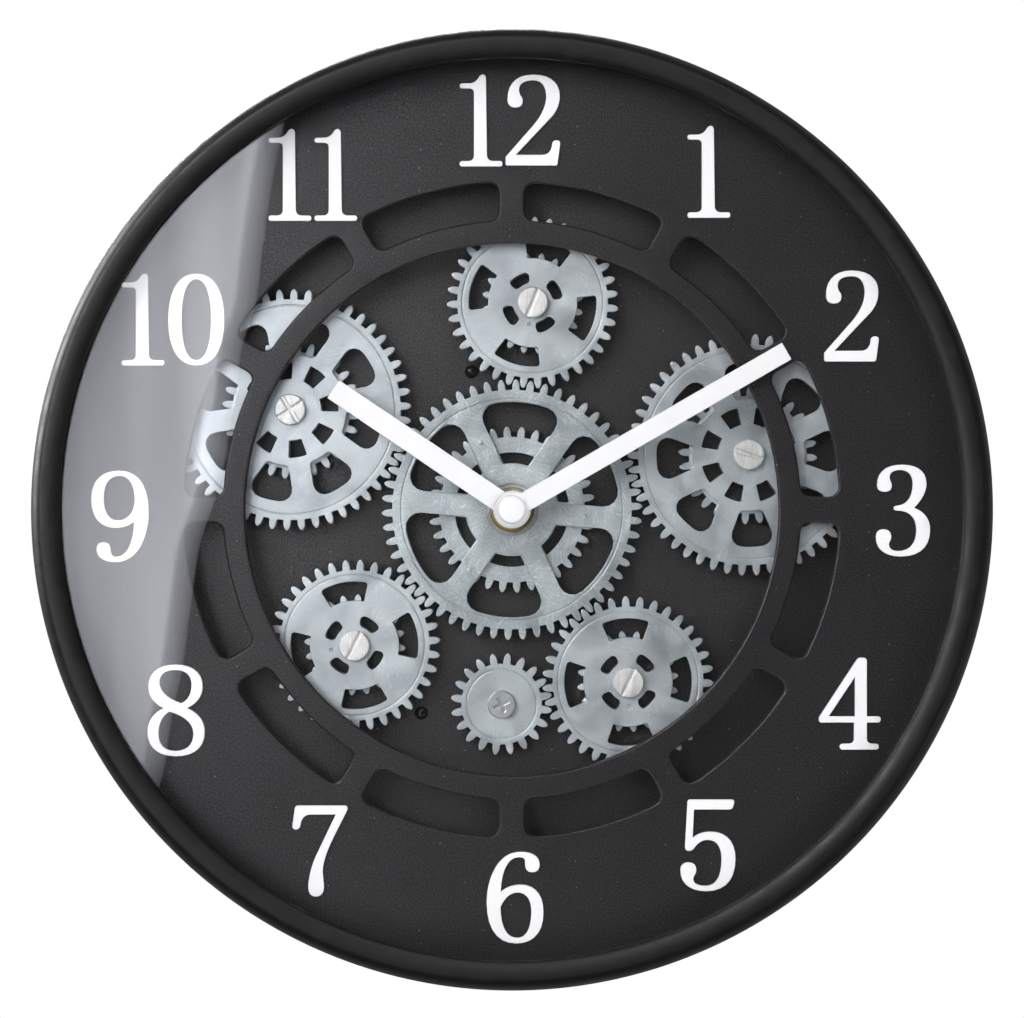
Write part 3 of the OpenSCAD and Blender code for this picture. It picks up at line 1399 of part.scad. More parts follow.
module drive_motor() color(steel_colour) in_place()
    put(armature_at, 0) difference() {
        disc(motor_can_r, motor_floor_z, can_front_z);
        disc(armature_r + shaft_gap, can_front_z - bearing_h, can_front_z + over);
    }

reduction_turn = 0;
armature_turn = mesh_turn(reduction_teeth, reduction_turn, motor_pinion_teeth, armature_dir);

module motor_pinion() color(brass_colour) in_place()
    put(armature_at, 0) {
        disc(armature_r, can_front_z - bearing_h + fit_gap, reduction_top_z);
        gear(motor_pinion_teeth, small_module, armature_turn, slim_share, reduction_z, reduction_top_z);
    }

module reduction_wheel() color(white_colour) in_place()
    put(reduction_at, 0) difference() {
        union() {
            gear(reduction_teeth, small_module, reduction_turn, slim_share, reduction_z, reduction_top_z);
            gear(motor_pinion_teeth, small_module, 0, slim_share, reduction_z, output_top_z);
        }
        disc(reduction_stud_r + shaft_gap, reduction_z - over, output_top_z + over);
    }

output_turn = mesh_turn(motor_pinion_teeth, 0, output_teeth, reduction_dir + 180);

module drive_shaft() color(steel_colour) in_place()
    put(pinion_at, 0) difference() {
        union() {
            disc(shaft_r, motor_floor_z + fit_gap, wheel_front_z);
            gear(output_teeth, small_module, output_turn, slim_share, output_z, output_top_z);
        }
        disc(pinion_shank_r + shaft_gap, wheel_front_z - pinion_shank_len - fit_gap, wheel_front_z + over);
    }

// Battery tray: depths
tray_floor_z = rear_depth - tray_wall;
tray_cell_z = tray_floor_z - tray_gap - cell_r;
tray_back_z = tray_cell_z - cell_r / 2;
tray_cell_y = cell_r + tray_gap + tray_wall / 2;
tray_boss_r = 2.4;
tray_boss_h = 3;

module battery_tray() color(shell_colour) in_place()
    difference() {
        union() {
            put(tray_at, 0) difference() {
                plate(tray_w, tray_h, divider_t, tray_back_z, rear_depth);
                for (side = [-1, 1])
                    translate([-cell_room / 2, side * tray_cell_y - cell_r - tray_gap, tray_back_z - over])
                        cube([cell_room, 2 * (cell_r + tray_gap), tray_floor_z - tray_back_z + over]);
            }
            for (side = [-1, 1])
                put([side * tray_screw_x, tray_screw_y], 0)
                    disc(tray_boss_r, rear_depth - tray_boss_h, rear_depth);
        }
        for (side = [-1, 1])
            put([side * tray_screw_x, tray_screw_y], 0)
                disc(shank_r + shaft_gap, rear_depth - tray_boss_h - over, rear_depth + over);
    }

// The two cells lie with their buttons at opposite ends
module motor_cells() color("#3c7a54") in_place() {
    aa_cell(tray_at + [-cell_button_h / 2, tray_cell_y], tray_cell_z);
    put(tray_at + [cell_button_h / 2, -tray_cell_y], 0)
        rotate([0, 0, 180]) aa_cell([0, 0], tray_cell_z);
}

// Half the width of a contact plate and the height of its raised spot
contact_half = 4;
contact_bump = 0.7;

// Contact plate across a cell's end, standing against the wall at x
module contact(at, z, side)
    translate([at.x - (side > 0 ? contact_t : 0), at.y - contact_half, z - contact_half]) {
        cube([contact_t, 2 * contact_half, 2 * contact_half]);
        translate([side > 0 ? -contact_bump : contact_t, contact_half, contact_half])
            rotate([0, 90, 0]) cylinder(r = cell_button_r, h = contact_bump, $fn = small_fn);
    }

module battery_contacts() color(steel_colour) in_place() {
    bay_x = movement_w / 2 - movement_wall;
    for (side = [-1, 1]) {
        contact([side * bay_x, cell_y], cell_z, side);
        for (row = [-1, 1])
            contact(tray_at + [side * cell_room / 2, row * tray_cell_y], tray_cell_z, side);
    }
}

module hanger_plate() color(steel_colour) in_place()
    difference() {
        put([0, hanger_y], 0) plate(hanger_w, hanger_h, hanger_corner, hanger_inset, hanger_front_z);
        put([0, keyhole_y], 0) disc(keyhole_r, hanger_inset - over, hanger_front_z + over);
        put([0, keyhole_y + keyslot_rise], 0) disc(keyslot_r, hanger_inset - over, hanger_front_z + over);
        translate([-keyslot_r, keyhole_y, hanger_inset - over])
            cube([2 * keyslot_r, keyslot_rise, hanger_t + 2 * over]);
        for (at = hanger_screw_at)
            put(at, 0) disc(shank_r + shaft_gap, hanger_inset - over, hanger_front_z + over);
    }

case_pan();
front_bezel();
glass_lens();
spacer_ring();
dial_plate();
numeral(1);  // numeral_1
numeral(2);  // numeral_2
numeral(3);  // numeral_3
numeral(4);  // numeral_4
numeral(5);  // numeral_5
numeral(6);  // numeral_6
numeral(7);  // numeral_7
numeral(8);  // numeral_8
numeral(9);  // numeral_9
numeral(10);  // numeral_10
numeral(11);  // numeral_11
numeral(12);  // numeral_12
centre_wheel();
top_wheel();
left_wheel();
right_wheel();
lower_left_wheel();
lower_right_wheel();
drive_pinion();
centre_sleeve();
centre_nut();
wheel_screws();
cross_slot_screw();
pinion_screw();
plate_screws();
rear_screws();
hour_hand();
minute_hand();
hand_cap();
movement_front();
movement_cover();
movement_bush();
hour_pipe();
minute_arbor();
motion_wheel();
third_wheel();
fourth_wheel();
step_motor();
circuit_board();
setting_knob();
clock_cell();
motor_housing();
motor_cover();
drive_motor();
motor_pinion();
reduction_wheel();
drive_shaft();
battery_tray();
motor_cells();
battery_contacts();
power_switch();
hanger_plate();
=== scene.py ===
"""Round gear wall clock: finishes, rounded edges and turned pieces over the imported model.

Run as a script. Every size in the sections below is in millimetres in the clock's own
view, x to the right, y up and z towards the viewer; row() turns it into the frame.
"""

import json
import math

import bmesh
import bpy
import numpy as np
from bpy.props import FloatProperty, FloatVectorProperty, IntProperty, PointerProperty
from bpy.types import Operator, Panel, PropertyGroup
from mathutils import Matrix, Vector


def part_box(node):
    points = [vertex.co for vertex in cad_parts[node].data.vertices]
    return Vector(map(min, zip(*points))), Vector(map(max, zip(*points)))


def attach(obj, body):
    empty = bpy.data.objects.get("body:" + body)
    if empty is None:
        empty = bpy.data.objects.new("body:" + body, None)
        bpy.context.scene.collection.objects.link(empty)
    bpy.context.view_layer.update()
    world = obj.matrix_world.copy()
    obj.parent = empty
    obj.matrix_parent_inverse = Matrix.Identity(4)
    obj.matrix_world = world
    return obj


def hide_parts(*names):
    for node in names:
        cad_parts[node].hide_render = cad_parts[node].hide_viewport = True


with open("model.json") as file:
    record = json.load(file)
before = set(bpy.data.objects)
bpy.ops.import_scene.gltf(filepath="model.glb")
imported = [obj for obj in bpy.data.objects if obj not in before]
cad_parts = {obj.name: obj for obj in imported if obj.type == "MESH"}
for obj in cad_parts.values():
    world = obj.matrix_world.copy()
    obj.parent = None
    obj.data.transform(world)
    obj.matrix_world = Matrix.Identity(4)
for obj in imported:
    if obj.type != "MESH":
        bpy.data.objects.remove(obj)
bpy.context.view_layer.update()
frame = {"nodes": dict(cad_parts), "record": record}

bl_info = {
    "name": "Gear wall clock",
    "version": (1, 0, 0),
    "blender": (4, 5, 0),
    "location": "View3D > Sidebar > Clock",
    "description": "Builds the visible pieces and finishes of a wall clock with an open gear train",
    "category": "Object",
}

MM = 0.001
NODES = frame["nodes"]
BODY_OF = {
    node: body
    for body, nodes in frame["record"]["behaviour"]["bodies"].items()
    for node in nodes
}

# Sections of the turned pieces, as distance from the axis and height, then each corner's
# rounding, which eased() turns into this many points
EASE_STEPS = 6
BEZEL_R = 152.0
BEZEL_FOOT = [(149.2, 52.2, 0.1), (149.2, 33.8, 0.2), (149.7, 33.0, 0.2), (149.2, 32.2, 0.2),
              (149.2, 25.0, 0.2), (BEZEL_R, 25.0, 0.5), (BEZEL_R, 48.6, 0.1)]
BEZEL_LIP = [(141.8, 54.2, 0.15), (147.3, 54.2, 0.1), (147.3, 52.2, 0.1)]
BEZEL_CREST = (147.41, 57.6)
BEZEL_CREST_ROUND = 9.0
BEZEL_LIP_EDGE = (141.8, 55.6)
SPACER_SECTION = [(144.3, 41.7, 0.3), (148.9, 41.7, 0.2), (148.9, 52.2, 0.2), (144.3, 52.2, 0.3)]
GLASS_SECTION = [(146.6, 52.2), (147.0, 52.6), (147.0, 53.8), (146.6, 54.2)]
NUT_SECTION = [(4.15, 36.0, 0.1), (7.2, 36.0, 0.1), (7.2, 37.9, 0.25), (6.7, 38.4, 0.25),
               (5.2, 38.4, 0.15), (4.7, 37.9, 0.2), (4.15, 37.9, 0.1)]
# The hands' cap: heights of its base, its hollow's floor and its top, and its own radii
CAP_BASE, CAP_FLOOR, CAP_TOP = 47.7, 49.4, 50.7
CAP_R = 4.55
CAP_HOLE_R = 1.25
CAP_SHOULDER = 1.25
CAP_CROWN = 0.28
CAP_CHAMFER = 0.15
# Screws: the dome heads' places, their size and shank, and the pan head's rounded rim
PLATE_SCREWS = [(-29.34, -65.84), (22.66, -65.84), (-13.1, 44.7), (13.1, 44.7)]
PLATE_Z = 27.5
DOME_R = 2.2
DOME_H = 1.6
SHANK_R = 1.2
SHANK_LENGTH = 5.0
PAN_RIM = 1.0
# Edges that lie almost at a head's full radius, from this share of it, belong to its rim
RIM_FROM = 0.97
# Edges of the boxes and the switch, as shares of the case's, and of the pan head, as a
# share of the other screws'
BOX_SHARE = 0.75
SWITCH_SHARE = 0.5
PAN_SHARE = 0.6
# Places of the round gate marks on the wheels' faces, and their section: a low ring round
# a shallow dimple, sunk a little way into the face
GATE_MARKS = {
    "top_wheel": [(5.35, 59.57)],
    "lower_left_wheel": [(-58.1, -44.9)],
    "lower_right_wheel": [(37.3, -63.0)],
}
GATE_SECTION = [(0.0, 0.02), (0.3, 0.02), (0.5, 0.2), (0.62, 0.2), (0.75, 0.0), (0.75, -0.1),
                (0.0, -0.1)]
WHEEL_FACE_Z = 35.7
# Cells: half length, radius, button, and how far they sit from their bay's middle. Each is
# its middle, then 1 where its button points right or -1 where it points left
CELL_HALF = 24.6
CELL_R = 7.1
CELL_BUTTON_R = 2.6
CELL_BUTTON_H = 1.3
CELL_SIDES = 64
CELL_SHIFT = 0.65
CLOCK_CELL = [(-CELL_SHIFT, -19.4, 16.6, 1)]
# Within this distance of a cell's axis its ends are bare metal
SLEEVE_LAP_R = 5.7

WHEELS = ("centre_wheel", "top_wheel", "left_wheel", "right_wheel", "lower_left_wheel",
          "lower_right_wheel", "drive_pinion")
NUMERALS = tuple("numeral_%d" % hour for hour in range(1, 13))


def row(x, y, z):
    """Points of the clock's own view, in mm, in the frame's metres: up is Z, and the viewer
    looks along +Y."""
    return np.stack([x, -z, y], axis=-1) * MM


def linear(code):
    """A colour written as sRGB hex, as the linear red, green and blue that shaders take."""
    shares = np.array([int(code[at:at + 2], 16) for at in (1, 3, 5)]) / 255
    return tuple(np.where(shares <= 0.04045, shares / 12.92, ((shares + 0.055) / 1.055) ** 2.4))


def opaque(colour):
    """A colour with full alpha, as a colour socket takes it."""
    return (colour[0], colour[1], colour[2], 1.0)


def length(name, description, size, least=0.0):
    """A length that a user may change, written in mm."""
    return FloatProperty(name=name, description=description, default=size * MM,
                         min=least * MM, unit="LENGTH", precision=5)


def tint(name, description, code):
    """A colour that a user may change, written as sRGB hex."""
    return FloatVectorProperty(name=name, description=description, default=linear(code),
                               subtype="COLOR", size=3, min=0.0, max=1.0)


class ClockSizes(PropertyGroup):
    """Sizes that change the look without moving a part."""

    wheel_edge: length("Wheel edge", "Rounding of the moulded wheels' edges", 0.15)
    plate_edge: length("Dial edge", "Rounding along the dial's opening and slots", 0.8)
    numeral_edge: length("Numeral edge", "Rounding of the raised numerals' edges", 0.2)
    hand_edge: length("Hand edge", "Rounding of the hands' edges", 0.2)
    screw_edge: length("Screw edge", "Rounding of the screws' heads and slots", 0.25)
    case_edge: length("Case edge", "Rounding of the case's and the boxes' outer edges", 0.4)
    hanger_edge: length("Hanger edge", "Rounding of the hanger plate's edges", 0.15)
    leather_grain: length("Leather grain", "Width of one pebble of the dial's moulded grain",
                          0.9, least=0.2)
    turned_steps: IntProperty(
        name="Turned steps", description="Sides of the large turned pieces", default=288, min=48)
    camera_distance: FloatProperty(
        name="Camera distance", description="From the wall plane to the camera",
        default=0.93, min=0.3, unit="LENGTH")
    lens: FloatProperty(
        name="Lens", description="Focal length that frames the clock as photographed",
        default=97.9, min=10.0, unit="CAMERA")


class ClockColours(PropertyGroup):
    """Colours of the finishes."""

    bezel: tint("Bezel", "Black plastic of the bezel and the spacer", "#0A0A0B")
    moulding: tint("Rear mouldings", "Black plastic of the back, the movement and the boxes",
                   "#171718")
    dial: tint("Dial", "Grained black plastic of the dial", "#100F11")
    plate: tint("Gear plate", "Grained black plastic of the case behind the wheels", "#1B1A1B")
    wheels: tint("Outer wheels", "Silver lacquer of the outer wheels", "#C5CCD0")
    centre_wheel: tint("Centre wheel", "Duller silver lacquer of the centre wheel", "#BCC4C7")
    white: tint("Numerals", "White lacquer of the numerals and the switch", "#E1E1E3")
    # The hands and their cap take the numerals' white lacquer set a little darker, so that they
    # render less bright: painted shade
    hands: tint("Hands", "White lacquer of the hands and their cap", "#DADADC")
    steel: tint("Screws", "Nickel-plated steel of the screws", "#F2F2F1")
    brass: tint("Nut", "Dull brass of the hub's nut and bush", "#A08F52")
    cell: tint("Cell sleeve", "Plain film round the cells", "#2F6E4C")


# ---------------------------------------------------------------- finishes

# A noise's or a cell pattern's Scale is 1000 over its width in mm. A wave's is 314 over it.


def add(owner, kind, settings=None, sockets=()):
    """Adds a shader node of a kind to a material or a world. settings are its attributes.
    sockets are its inputs, by name or number or in their order, each a value, another node's
    output, or another node, whose first output is meant."""
    tree = owner.node_tree
    node = tree.nodes.new("ShaderNode" + kind)
    for name, value in (settings or {}).items():
        setattr(node, name, value)
    for name, value in sockets.items() if isinstance(sockets, dict) else enumerate(sockets):
        if isinstance(value, bpy.types.Node):
            value = value.outputs[0]
        if isinstance(value, bpy.types.NodeSocket):
            tree.links.new(value, node.inputs[name])
        else:
            node.inputs[name].default_value = value
    return node


def new_finish(name, metallic=0.0, ior=1.5):
    """A material with one shader: returns it, the shader and its Object coordinates."""
    finish = bpy.data.materials.new(name)
    finish.use_nodes = True
    finish.node_tree.nodes.clear()
    shader = add(finish, "BsdfPrincipled", {}, {"Metallic": metallic, "IOR": ior})
    add(finish, "OutputMaterial", {}, {"Surface": shader})
    place = add(finish, "TexCoord").outputs["Object"]
    return finish, shader, place


def surfaced(finish, shader, colour=None, rough=None, relief=None):
    """Joins a finish's patterns to its shader and returns the material.

    colour is a socket, or a share from 0 to 1 and the two colours that it blends. rough is
    a pattern, the span that it crosses and the roughness at each end. relief is a height,
    a strength and the height's depth in mm.
    """
    links = finish.node_tree.links
    if isinstance(colour, tuple):
        share, dark, light = colour
        colour = add(finish, "Mix", {"data_type": "RGBA"},
                     {0: share, 6: opaque(dark), 7: opaque(light)}).outputs[2]
    if colour is not None:
        links.new(colour, shader.inputs["Base Color"])
    if rough is not None:
        worn = add(finish, "MapRange", {}, rough)
        links.new(worn.outputs[0], shader.inputs["Roughness"])
    if relief is not None:
        height, strength, depth = relief
        bump = add(finish, "Bump", {},
                   {"Strength": strength, "Distance": depth * MM, "Height": height})
        links.new(bump.outputs[0], shader.inputs["Normal"])
    return finish


def partly_clear(finish, shader, share, colour=(1.0, 1.0, 1.0)):
    """Makes a share of a surface clear, with a tint."""
    clear = add(finish, "BsdfTransparent", {}, {"Color": opaque(colour)})
    mixed = add(finish, "MixShader", {}, (share, shader, clear))
    output = next(node for node in finish.node_tree.nodes if node.type == "OUTPUT_MATERIAL")
    finish.node_tree.links.new(mixed.outputs[0], output.inputs["Surface"])


def leather_grained_abs(name, colour, grain):
    """Grained ABS of the dial and gear plate: a dark pebbled grain, each pebble's top given a
    painted highlight in its colour, clouded tone and a few specks of dust."""
    finish, shader, place = new_finish(name, ior=1.53)
    pebbles = add(finish, "TexVoronoi", {"feature": "SMOOTH_F1"},
                  {"Vector": place, "Scale": 1 / grain, "Smoothness": 0.6})
    fine = add(finish, "TexNoise", {}, {"Vector": place, "Scale": 1.9 / grain, "Detail": 2.0})
    height = add(finish, "Math", {"operation": "MULTIPLY_ADD"}, (fine, 0.55, pebbles))
    # colour: clouded over 36 mm, and a painted highlight that makes the fine tops lighter
    cloud = add(finish, "TexNoise", {}, {"Vector": place, "Scale": 28.0, "Detail": 3.0})
    light = add(finish, "MapRange", {}, (fine, 0.35, 0.75, 0.8, 1.5))
    tone = add(finish, "MapRange", {}, (cloud, 0.3, 0.7, 0.85, 1.2))
    both = add(finish, "Math", {"operation": "MULTIPLY"}, (light, tone))
    shade = add(finish, "VectorMath", {"operation": "SCALE"}, {0: colour, "Scale": both})
    # dust: specks 0.3 mm wide, about 7 mm apart, on what faces forwards
    facing = add(finish, "Mapping", {},
                 {"Vector": place, "Rotation": (math.radians(90.0), 0.0, 0.0)})
    dust = add(finish, "TexVoronoi", {"voronoi_dimensions": "2D"},
               {"Vector": facing, "Scale": 140.0})
    speck = add(finish, "MapRange", {}, (dust, 0.012, 0.034, 0.6, 0.0))
    rare = add(finish, "SeparateColor", {}, {"Color": dust.outputs["Color"]})
    chosen = add(finish, "Math", {"operation": "GREATER_THAN"}, (rare, 0.7))
    surface = add(finish, "NewGeometry")
    normal = add(finish, "SeparateXYZ", {}, (surface.outputs["Normal"],))
    level = add(finish, "Math", {"operation": "LESS_THAN"}, (normal.outputs["Y"], -0.95))
    seen = speck
    for share in (chosen, level, rare.outputs["Green"]):
        seen = add(finish, "Math", {"operation": "MULTIPLY"}, (seen, share))
    dusty = add(finish, "Mix", {"data_type": "RGBA"},
                {0: seen, 6: shade, 7: opaque(linear("#C8C8C8"))})
    # sheen: the tops are rubbed glossier than the valleys between them
    sheen = add(finish, "MapRange", {}, (fine, 0.36, 0.66, 0.36, 0.86))
    finish.node_tree.links.new(sheen.outputs[0], shader.inputs["Specular IOR Level"])
    return surfaced(finish, shader, dusty.outputs[2], (height, 0.2, 1.0, 0.46, 0.36),
                    (height, 0.45, 0.09))


def satin_black_abs(colour):
    """Moulded ABS of the bezel: nearly black and satin, with the faint orange peel of a
    polished mould, 2.4 mm wide, and hairline rubs."""
    finish, shader, place = new_finish("satin_black_abs", ior=1.48)
    peel = add(finish, "TexNoise", {}, {"Vector": place, "Scale": 420.0, "Detail": 2.0})
    fine = add(finish, "TexNoise", {}, {"Vector": place, "Scale": 2600.0, "Detail": 2.0})
    rubs = add(finish, "TexNoise", {},
               {"Vector": place, "Scale": 60.0, "Detail": 4.0, "Distortion": 2.5})
    both = add(finish, "Math", {"operation": "MULTIPLY_ADD"}, (fine, 0.3, peel))
    return surfaced(finish, shader, (rubs, colour * 0.82, colour * 1.25),
                    (rubs, 0.42, 0.6, 0.4, 0.5), (both, 0.12, 0.05))


def sparked_black_abs(colour):
    """Moulded ABS of the back, the movement and the boxes: duller black with the sandy
    texture of a spark-eroded mould, 0.4 mm wide, and slow flow marks."""
    finish, shader, place = new_finish("sparked_black_abs", ior=1.53)
    sand = add(finish, "TexNoise", {}, {"Vector": place, "Scale": 2400.0, "Detail": 3.0})
    flow = add(finish, "TexNoise", {},
               {"Vector": place, "Scale": 22.0, "Detail": 3.0, "Distortion": 1.2})
    return surfaced(finish, shader, (flow, colour * 0.9, colour * 1.9),
                    (flow, 0.3, 0.7, 0.5, 0.62), (sand, 0.35, 0.04))


def silver_lacquered_abs(name, colour, scratched):
    """Silver-lacquered ABS of the wheels: a soft metallic grey with clouded flow marks 13 mm
    wide, flakes of 0.5 mm, and patches of short scratches, each patch rubbed in its own
    direction. scratched is the share of patches that show them."""
    finish, shader, place = new_finish(name, metallic=0.88)
    flake = add(finish, "TexNoise", {}, {"Vector": place, "Scale": 1900.0, "Detail": 2.0})
    cloud = add(finish, "TexNoise", {},
                {"Vector": place, "Scale": 75.0, "Detail": 2.0, "Distortion": 0.8})
    # patches about 6 mm wide, each with a direction and a chance of being scratched
    wander = add(finish, "TexNoise", {}, {"Vector": place, "Scale": 220.0, "Detail": 2.0})
    loose = add(finish, "VectorMath", {"operation": "MULTIPLY_ADD"},
                (wander.outputs["Color"], (0.006, 0.006, 0.006), place))
    patch = add(finish, "TexVoronoi", {}, {"Vector": loose, "Scale": 160.0})
    chance = add(finish, "SeparateColor", {}, {"Color": patch.outputs["Color"]})
    turn = add(finish, "Math", {"operation": "MULTIPLY"}, (chance, math.pi))
    turned = add(finish, "VectorRotate", {"rotation_type": "Y_AXIS"},
                 {"Vector": place, "Angle": turn})
    # strokes 0.24 mm wide and about 3.5 mm long
    stretched = add(finish, "VectorMath", {"operation": "MULTIPLY"},
                    (turned, (4200.0, 300.0, 260.0)))
    strokes = add(finish, "TexNoise", {}, {"Vector": stretched, "Scale": 1.0, "Detail": 2.0})
    stroke = add(finish, "MapRange", {}, (strokes, 0.54, 0.68, 0.0, 1.0))
    rubbed = add(finish, "Math", {"operation": "LESS_THAN"}, (chance.outputs["Green"], scratched))
    scratch = add(finish, "Math", {"operation": "MULTIPLY"}, (stroke, rubbed))
    tone = add(finish, "MapRange", {}, (cloud, 0.3, 0.7, 0.8, 1.12))
    spark = add(finish, "MapRange", {},
                (flake, 0.3, 0.75, 1.0 - 0.2 * scratched, 1.0 + 0.26 * scratched))
    both = add(finish, "Math", {"operation": "MULTIPLY"}, (tone, spark))
    lifted = add(finish, "Math", {"operation": "MULTIPLY_ADD"},
                 (scratch, 0.1 + 0.5 * scratched, both))
    shade = add(finish, "VectorMath", {"operation": "SCALE"}, {0: colour, "Scale": lifted})
    height = add(finish, "Math", {"operation": "MULTIPLY_ADD"}, (scratch, -0.9, flake))
    return surfaced(finish, shader, shade.outputs[0], (cloud, 0.3, 0.7, 0.36, 0.5),
                    (height, 0.12 + 0.25 * scratched, 0.03))


def white_lacquer(name, colour):
    """White lacquer of the numerals, hands and cap: clean and half glossy, its surface barely
    wavy over 3 mm."""
    finish, shader, place = new_finish(name)
    wave = add(finish, "TexNoise", {}, {"Vector": place, "Scale": 300.0, "Detail": 2.0})
    soil = add(finish, "TexNoise", {}, {"Vector": place, "Scale": 45.0, "Detail": 3.0})
    return surfaced(finish, shader, (soil, colour * 0.94, colour),
                    (wave, 0.3, 0.7, 0.3, 0.4), (wave, 0.08, 0.05))


def faced_steel(colour):
    """Nickel-plated steel of the screws: bright, with straight facing marks 0.35 mm apart that
    run at a slant across each head."""
    finish, shader, place = new_finish("faced_steel", metallic=1.0)
    slanted = add(finish, "Mapping", {},
                  {"Vector": place, "Rotation": (0.0, math.radians(-60.0), 0.0),
                   "Scale": (2800.0, 2800.0, 160.0)})
    marks = add(finish, "TexNoise", {}, {"Vector": slanted, "Scale": 1.0, "Detail": 3.0})
    patch = add(finish, "TexNoise", {}, {"Vector": place, "Scale": 260.0, "Detail": 2.0})
    tone = add(finish, "Math", {"operation": "MULTIPLY_ADD"}, (patch, 0.5, marks))
    scale = add(finish, "MapRange", {}, (tone, 0.45, 1.05, 0.72, 1.1))
    shade = add(finish, "VectorMath", {"operation": "SCALE"}, {0: colour, "Scale": scale})
    return surfaced(finish, shader, shade.outputs[0], (marks, 0.3, 0.7, 0.44, 0.62),
                    (marks, 0.3, 0.02))


def chromed_steel():
    """Chromed steel of the pan-head screw: a duller silver than the slotted heads, almost
    smooth."""
    finish, shader, place = new_finish("chromed_steel", metallic=1.0)
    haze = add(finish, "TexNoise", {}, {"Vector": place, "Scale": 700.0, "Detail": 1.0})
    return surfaced(finish, shader, (haze, linear("#D6D9DC"), linear("#E6E9EC")),
                    (haze, 0.0, 1.0, 0.33, 0.39))


def dull_brass(colour):
    """Turned brass of the nut and bush: dulled to olive, with rings of tool marks 0.35 mm
    apart round the hands' axis."""
    finish, shader, place = new_finish("dull_brass", metallic=1.0)
    rings = add(finish, "TexWave",
                {"wave_type": "RINGS", "rings_direction": "Y", "wave_profile": "SAW"},
                {"Vector": place, "Scale": 900.0, "Distortion": 1.5, "Detail": 2.0})
    stain = add(finish, "TexNoise", {}, {"Vector": place, "Scale": 500.0, "Detail": 3.0})
    return surfaced(finish, shader, (stain, colour * 0.6, colour * 1.25),
                    (stain, 0.3, 0.7, 0.38, 0.55), (rings.outputs["Fac"], 0.3, 0.02))


def blackened_steel():
    """Blackened steel of the dome-head screws: nearly black and glossy, slightly mottled."""
    finish, shader, place = new_finish("blackened_steel", metallic=0.4)
    mottle = add(finish, "TexNoise", {}, {"Vector": place, "Scale": 900.0, "Detail": 3.0})
    return surfaced(finish, shader, (mottle, linear("#0B0B0C"), linear("#1C1C1E")),
                    (mottle, 0.3, 0.7, 0.18, 0.3))


def window_glass():
    """Float glass: clear, mirror smooth with a few faint smears. Lamps shine through it, so
    the dial behind stays lit."""
    finish, shader, place = new_finish("window_glass", ior=1.52)
    smear = add(finish, "TexNoise", {},
                {"Vector": place, "Scale": 14.0, "Detail": 4.0, "Distortion": 1.5})
    shader.inputs["Base Color"].default_value = opaque(linear("#FCFCFC"))
    shader.inputs["Transmission Weight"].default_value = 1.0
    lamp = add(finish, "LightPath")
    partly_clear(finish, shader, lamp.outputs["Is Shadow Ray"], linear("#FAFAFA"))
    return surfaced(finish, shader, rough=(smear, 0.5, 0.8, 0.0, 0.035))


def acetal():
    """Acetal of the movement's inner wheels: milky off-white and waxy."""
    finish, shader, place = new_finish("acetal", ior=1.48)
    milk = add(finish, "TexNoise", {}, {"Vector": place, "Scale": 400.0, "Detail": 2.0})
    return surfaced(finish, shader, (milk, linear("#DEDACB"), linear("#F2EFE4")),
                    (milk, 0.0, 1.0, 0.3, 0.45))


def glass_fibre_board():
    """Glass-fibre board of the circuit: green lacquer over a woven cloth, its threads drawn
    1 mm apart to show."""
    finish, shader, place = new_finish("glass_fibre_board", ior=1.55)
    across, along = (
        add(finish, "TexWave", {"bands_direction": way},
            {"Vector": place, "Scale": 320.0}).outputs["Fac"] for way in "XZ")
    cloth = add(finish, "Math", {"operation": "MULTIPLY"}, (across, along))
    return surfaced(finish, shader, (cloth, linear("#245A3B"), linear("#2F7049")),
                    (cloth, 0.0, 1.0, 0.3, 0.42))


def plated_sheet_steel():
    """Zinc-plated sheet steel of the hanger plate: a cool grey with soft spangles about 4 mm
    across and rolling marks."""
    finish, shader, place = new_finish("plated_sheet_steel", metallic=1.0)
    spangle = add(finish, "TexVoronoi", {}, {"Vector": place, "Scale": 260.0})
    tone = add(finish, "SeparateColor", {}, {"Color": spangle.outputs["Color"]})
    stretched = add(finish, "Mapping", {}, {"Vector": place, "Scale": (90.0, 90.0, 3200.0)})
    rolled = add(finish, "TexNoise", {}, {"Vector": stretched, "Scale": 1.0, "Detail": 3.0})
    return surfaced(finish, shader, (tone, linear("#9FA3A6"), linear("#BDC0C2")),
                    (tone.outputs["Green"], 0.0, 1.0, 0.32, 0.48), (rolled, 0.15, 0.02))


def nickel_plate():
    """Nickel-plated strip of the contacts, cell ends and small steel parts: bright, warm grey,
    finely rubbed."""
    finish, shader, place = new_finish("nickel_plate", metallic=1.0)
    rub = add(finish, "TexNoise", {},
              {"Vector": place, "Scale": 1200.0, "Detail": 2.0, "Distortion": 0.3})
    return surfaced(finish, shader, (rub, linear("#BBB9B3"), linear("#CFCDC6")),
                    (rub, 0.0, 1.0, 0.26, 0.36))


def shrunk_film(colour):
    """Shrunk plastic film round a cell: glossy, in one plain colour, with faint shrink ripples
    5 mm apart."""
    finish, shader, place = new_finish("shrunk_film")
    ripple = add(finish, "TexNoise", {}, {"Vector": place, "Scale": 180.0, "Detail": 2.0})
    return surfaced(finish, shader, (ripple, colour * 0.8, colour * 1.15),
                    (ripple, 0.0, 1.0, 0.18, 0.3), (ripple, 0.2, 0.1))


def wound_copper():
    """Enamelled copper of the stepping motor and its iron core: reddish, with windings 0.5 mm
    apart."""
    finish, shader, place = new_finish("wound_copper", metallic=1.0)
    turns = add(finish, "TexWave", {"bands_direction": "X"},
                {"Vector": place, "Scale": 640.0, "Distortion": 0.4}).outputs["Fac"]
    return surfaced(finish, shader, (turns, linear("#6E3A22"), linear("#B5683F")),
                    (turns, 0.0, 1.0, 0.25, 0.4), (turns, 0.5, 0.08))


